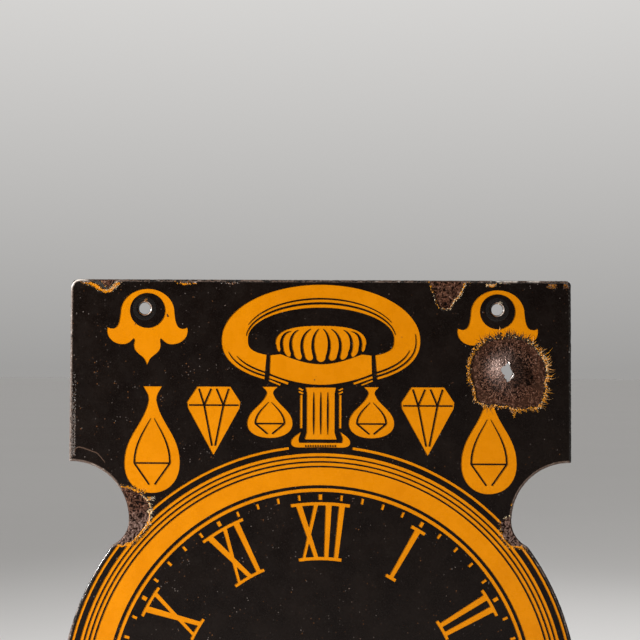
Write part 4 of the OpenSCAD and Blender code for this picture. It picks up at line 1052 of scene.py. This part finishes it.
def crumbs(name, spots, sizes, level, tints, material, back, seed):
    """Broken grains: each is a six-cornered lump, drawn out and turned at random, half sunk in its face."""
    draw = np.random.default_rng(seed)
    count = len(spots)
    shape = CRUMB_CORNERS[None] * draw.uniform(0.6, 1.2, (count, 6, 1)) * sizes[:, None, None] * 0.5
    drawn_out = np.stack([draw.uniform(1, 1.9, count), np.full(count, 0.7), np.ones(count)], -1)
    shape = shape * drawn_out[:, None, :]
    turn = draw.uniform(0, 2 * np.pi, count)[:, None]
    x = spots[:, :1] + shape[..., 0] * np.cos(turn) - shape[..., 2] * np.sin(turn)
    z = spots[:, 1:] + shape[..., 0] * np.sin(turn) + shape[..., 2] * np.cos(turn)
    points = face_points(x, z, level[:, None] + shape[..., 1], back)
    faces = (CRUMB_FACES[None] + 6 * np.arange(count)[:, None, None]).reshape(-1, 3)
    faces = faces if back else faces[:, ::-1]
    piece = new_piece(name, points, faces, material, smooth=False, tint=np.repeat(tints, 6, 0))
    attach(piece, "root")
    return piece


def lowest_near(coats, steps):
    """The lowest coat within so many grid steps of each place, across and along."""
    padded = np.pad(coats, steps, mode="edge")
    return np.lib.stride_tricks.sliding_window_view(padded, (2 * steps + 1, 2 * steps + 1)).min((2, 3))


def crumb_places(low, high, back, chance, draw):
    """Random places in a box, picked where coats end near bare steel or ground, and the coats there."""
    x, z = np.meshgrid(np.arange(low[0], high[0], MAP_STEP), np.arange(low[1], high[1], MAP_STEP))
    coats = shown_coat(np.stack([x.ravel(), z.ravel()], -1), back).reshape(x.shape)
    damaged = lowest_near(coats, DAMAGE_STEPS) <= 1
    at_edge = (lowest_near(coats, EDGE_STEPS) < coats) | (-lowest_near(-coats, EDGE_STEPS) > coats)
    wanted = damaged & at_edge & (coats > 0) & (draw.uniform(0, 1, x.shape) < chance)
    spots = np.stack([x[wanted], z[wanted]], -1)
    inside = inside_sheet(spots, CRUMB_INSIDE)
    spots = spots + draw.uniform(-CRUMB_SHIFT, CRUMB_SHIFT, spots.shape)
    return spots[inside], coats[wanted][inside]


# Each broken place's box, how thickly crumbs lie there, their size, and where they are cream and how far
CRUMBLED = (
    ("top_small", (-173, 10), (-143, 20.2), 0.50, 0.85, (-150, 16), 4),
    ("top_large", (72, -4), (108, 20.2), 0.60, 0.80, (101, 7), 11),
    ("cove_left", (-160, -170), (-114, -124), 0.50, 1.05, (-121.5, -144), 9),
    ("cove_right", (124, -175), (152, -138), 0.38, 0.75, (135, -151), 5),
    ("shot", (SHOT[0] - 36, SHOT[1] - 38), (SHOT[0] + 36, SHOT[1] + 34), 0.30, 0.95, (159, -42), 18),
)
CREAM_MOST = 0.6
CREAM_LEAST = 0.03
for back, face in FACES.items():
    bright, dark = [], []
    for name, low, high, chance, size, cream_middle, cream_reach in CRUMBLED:
        draw = np.random.default_rng(len(name) * 10 + back)
        spots, coats = crumb_places(low, high, back, chance, draw)
        count = len(spots)
        level = np.array([STEEL_FACE, GROUND_LEVEL, AMBER_LEVEL, BLACK_LEVEL])[coats]
        sizes = size * draw.uniform(0.45, 1.15, count)
        apart = np.hypot(spots[:, 0] - cream_middle[0], spots[:, 1] - cream_middle[1])
        cream = CREAM_LEAST + CREAM_MOST * hump(apart, cream_reach)
        kind = draw.uniform(0, 1, count)
        shade = draw.uniform(0, 1, count)
        tints = blend(AMBER_TINT * 0.7, AMBER_TINT * 1.25, shade)
        pale_tints = blend(CREAM_TINT * 0.6, CREAM_TINT * 1.15, shade)
        tints = np.where((kind < cream)[:, None], pale_tints, tints)
        darkened = (name == "shot") & (spots[:, 1] > SHOT[1] + DARK_ABOVE) & (kind > 0.3)
        glassy = (coats == 2) & ~darkened | ((coats == 3) & (kind < 0.25)) | ((coats == 1) & (kind < 0.3))
        bright.append((spots[glassy], sizes[glassy], level[glassy], tints[glassy]))
        tints = blend(DARK_TINT * 0.5, DARK_TINT * 2.2, shade)
        dark.append((spots[~glassy], sizes[~glassy] * 1.1, level[~glassy], tints[~glassy]))
    parts = [np.concatenate(part) for part in zip(*bright)]
    crumbs(f"amber_crumbs_{face}", *parts, bright_glass, back, 31)
    parts = [np.concatenate(part) for part in zip(*dark)]
    crumbs(f"dark_crumbs_{face}", *parts, dark_glass, back, 33)


# Crumbs on the front: small chips along the top edge, at the holes, by the left cove and under the
# shot, a crumbled left edge, and a band of orange and brown grains round the shot's left.

# Each small chip's middle and half size, across and up, its number of crumbs, and two tints to lie between
SMALL_CHIPS = (
    (-97.5, 18.6, 6.5, 1.5, 60, AMBER_TINT, BROWN_TINT),
    (-64, 18.3, 8, 0.8, 26, BROWN_TINT, GREY_TINT),
    (122.8, 17.9, 4.6, 1.9, 90, CREAM_TINT, AMBER_TINT),
    (132.5, 19.4, 5, 1.0, 45, CREAM_TINT, GREY_TINT),
    (166.7, 17.8, 3.2, 2.6, 120, BROWN_TINT, AMBER_TINT),
    (177, 17.6, 2.6, 3.2, 90, BROWN_TINT, DARK_TINT),
    (-126.4, 5.6, 1.6, 1.0, 26, BROWN_TINT, AMBER_TINT),
    (129.2, 5.0, 1.4, 0.8, 22, CREAM_TINT, GREY_TINT),
    (166.7, 17.2, 3.4, 2.8, 45, DARK_TINT, BROWN_TINT),
    (-122.6, -136.8, 2.3, 1.3, 60, AMBER_TINT, AMBER_TINT),
    (-135.5, -128.6, 3.4, 1.0, 55, AMBER_TINT, BROWN_TINT),
    (-127.5, -131.6, 2.6, 1.6, 60, AMBER_TINT, AMBER_TINT),
    (-120.6, -136.4, 2.4, 1.3, 45, CREAM_TINT, GREY_TINT),
    (-121.4, -145, 1.1, 4.2, 90, CREAM_TINT, CREAM_TINT),
    (138.2, -72.4, 2.6, 1.6, 50, AMBER_TINT, BROWN_TINT),
    (139.2, -75.2, 0.9, 2.2, 30, AMBER_TINT, BROWN_TINT),
)
# Stripes of crumbs down the left edge, between two heights: how far in each lies, its spread and number
LEFT_STRIPES = ((1.6, 0.35, 260), (3.6, 0.3, 210), (2.6, 0.7, 120))
LEFT_LOW = -107
LEFT_HIGH = -46
# The band round the shot's left: its radius, spread, first and last way, and number of crumbs
BAND_RADIUS = 25.9
BAND_SPREAD = 1.0
BAND_FROM = 118
BAND_TO = 232
BAND_COUNT = 480


def level_of(place):
    """The height of the front's face at each place: the black's where it lies, the amber's elsewhere."""
    return np.where(shown_coat(place, False) == 3, BLACK_LEVEL, AMBER_LEVEL)


draw = np.random.default_rng(41)
spots, level, tints, sizes = [], [], [], []
for inset, spread, count in LEFT_STRIPES:
    across = -HALF_WIDTH + inset + draw.normal(0, spread, count)
    place = np.stack([across, draw.triangular(LEFT_LOW, LEFT_LOW, LEFT_HIGH, count)], -1)
    place = place[inside_sheet(place, 0.8)]
    spots.append(place)
    level.append(np.full(len(place), BLACK_LEVEL))
    tints.append(blend(BROWN_TINT * 0.35, GREY_TINT * 0.8, draw.uniform(0, 1, len(place))))
    sizes.append(draw.uniform(0.35, 0.9, len(place)))
turn = np.radians(draw.uniform(BAND_FROM, BAND_TO, BAND_COUNT))
reach = BAND_RADIUS + 1.4 * line_waves(turn * 4, 111) + draw.normal(0, BAND_SPREAD, BAND_COUNT)
place = np.stack(round_about(SHOT, reach, turn), -1)
place = place[shown_coat(place, False) >= 2]
spots.append(place)
level.append(level_of(place))
tints.append(blend(BROWN_TINT * 0.6, AMBER_TINT, draw.uniform(0, 1, len(place)) ** 0.7))
sizes.append(draw.uniform(0.5, 1.6, len(place)))
for x, z, wide, high, count, first, second in SMALL_CHIPS:
    place = np.stack([x + wide * draw.normal(0, 0.45, count), z + high * draw.normal(0, 0.5, count)], -1)
    place = place[inside_sheet(place, 1.0)]
    share = draw.uniform(0, 1, len(place)) ** 1.5
    spots.append(place)
    level.append(level_of(place))
    tints.append(blend(first, second, share) * draw.uniform(0.5, 1.2, (len(place), 1)))
    sizes.append(draw.uniform(0.3, 0.95, len(place)))
parts = [np.concatenate(part) for part in (spots, sizes, level, tints)]
crumbs("edge_spot_crumbs", *parts, bright_glass, False, 43)


# Firing pits: small dark blisters in the front's amber, left by grit when it was fired. Each is one lump,
# given by its place, its size and its tint.
PITS = (
    (-110.3, -5.4, 1.5, DARK_TINT), (-110.9, -4.3, 0.9, DARK_TINT), (-133.8, -11.4, 0.9, BROWN_TINT),
    (-4.5, -50.9, 1.1, BROWN_TINT), (-121.0, -15.2, 0.5, BROWN_TINT), (-40.2, -22.6, 0.5, BROWN_TINT),
    (58.4, -20.1, 0.6, BROWN_TINT), (24.8, -8.3, 0.5, BROWN_TINT),
)
spots = np.array([pit[:2] for pit in PITS])
sizes = np.array([pit[2] for pit in PITS])
tints = np.array([pit[3] for pit in PITS])
level = np.full(len(PITS), AMBER_LEVEL)
crumbs("firing_pits", spots, sizes, level, tints, dark_glass, False, 47)


# Lifted enamel: a thin raised line on the black by the left cove, where the glass has come away from the
# steel in a sheet but not yet broken off.
LIFTED = np.array([
    [-177.4, -106], [-176.1, -101.4], [-173.2, -99.6], [-168.2, -101.2],
    [-161, -103.7], [-157.2, -107], [-154.4, -111],
])
LIFTED_STATIONS = 60
LIFTED_AROUND = 6
LIFTED_HALF = 0.45
run = np.linspace(0, len(LIFTED) - 1, LIFTED_STATIONS)
line = points_along(run, np.arange(len(LIFTED)), LIFTED)
line = line + 0.25 * np.stack([line_waves(run * 3, 101), line_waves(run * 3, 103)], -1)
along = np.gradient(line, axis=0)
across = np.stack([-along[:, 1], along[:, 0]], -1) / np.hypot(along[:, 0], along[:, 1])[:, None]
around = np.linspace(0, np.pi, LIFTED_AROUND)
wide = LIFTED_HALF * np.sin(np.linspace(0.15, np.pi - 0.15, LIFTED_STATIONS))[:, None] ** 0.4
flat = line[:, None, :] + across[:, None, :] * (wide * np.cos(around))[..., None]
raised = BLACK_LEVEL - 0.05 + 0.5 * wide * np.sin(around)
lifted_points = face_points(flat[..., 0], flat[..., 1], raised)
lifted_tint = np.tile(BROWN_TINT * 0.3 + GREY_TINT * 0.12, (LIFTED_STATIONS * LIFTED_AROUND, 1))
lifted_faces = grid_faces(LIFTED_STATIONS, LIFTED_AROUND, closed=True)
lifted = new_piece("lifted_enamel", lifted_points, lifted_faces, dark_glass, tint=lifted_tint)
close_openings(lifted, capped=True)
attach(lifted, "root")


# The visual model's box, found the same way as the CAD box.
low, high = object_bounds()
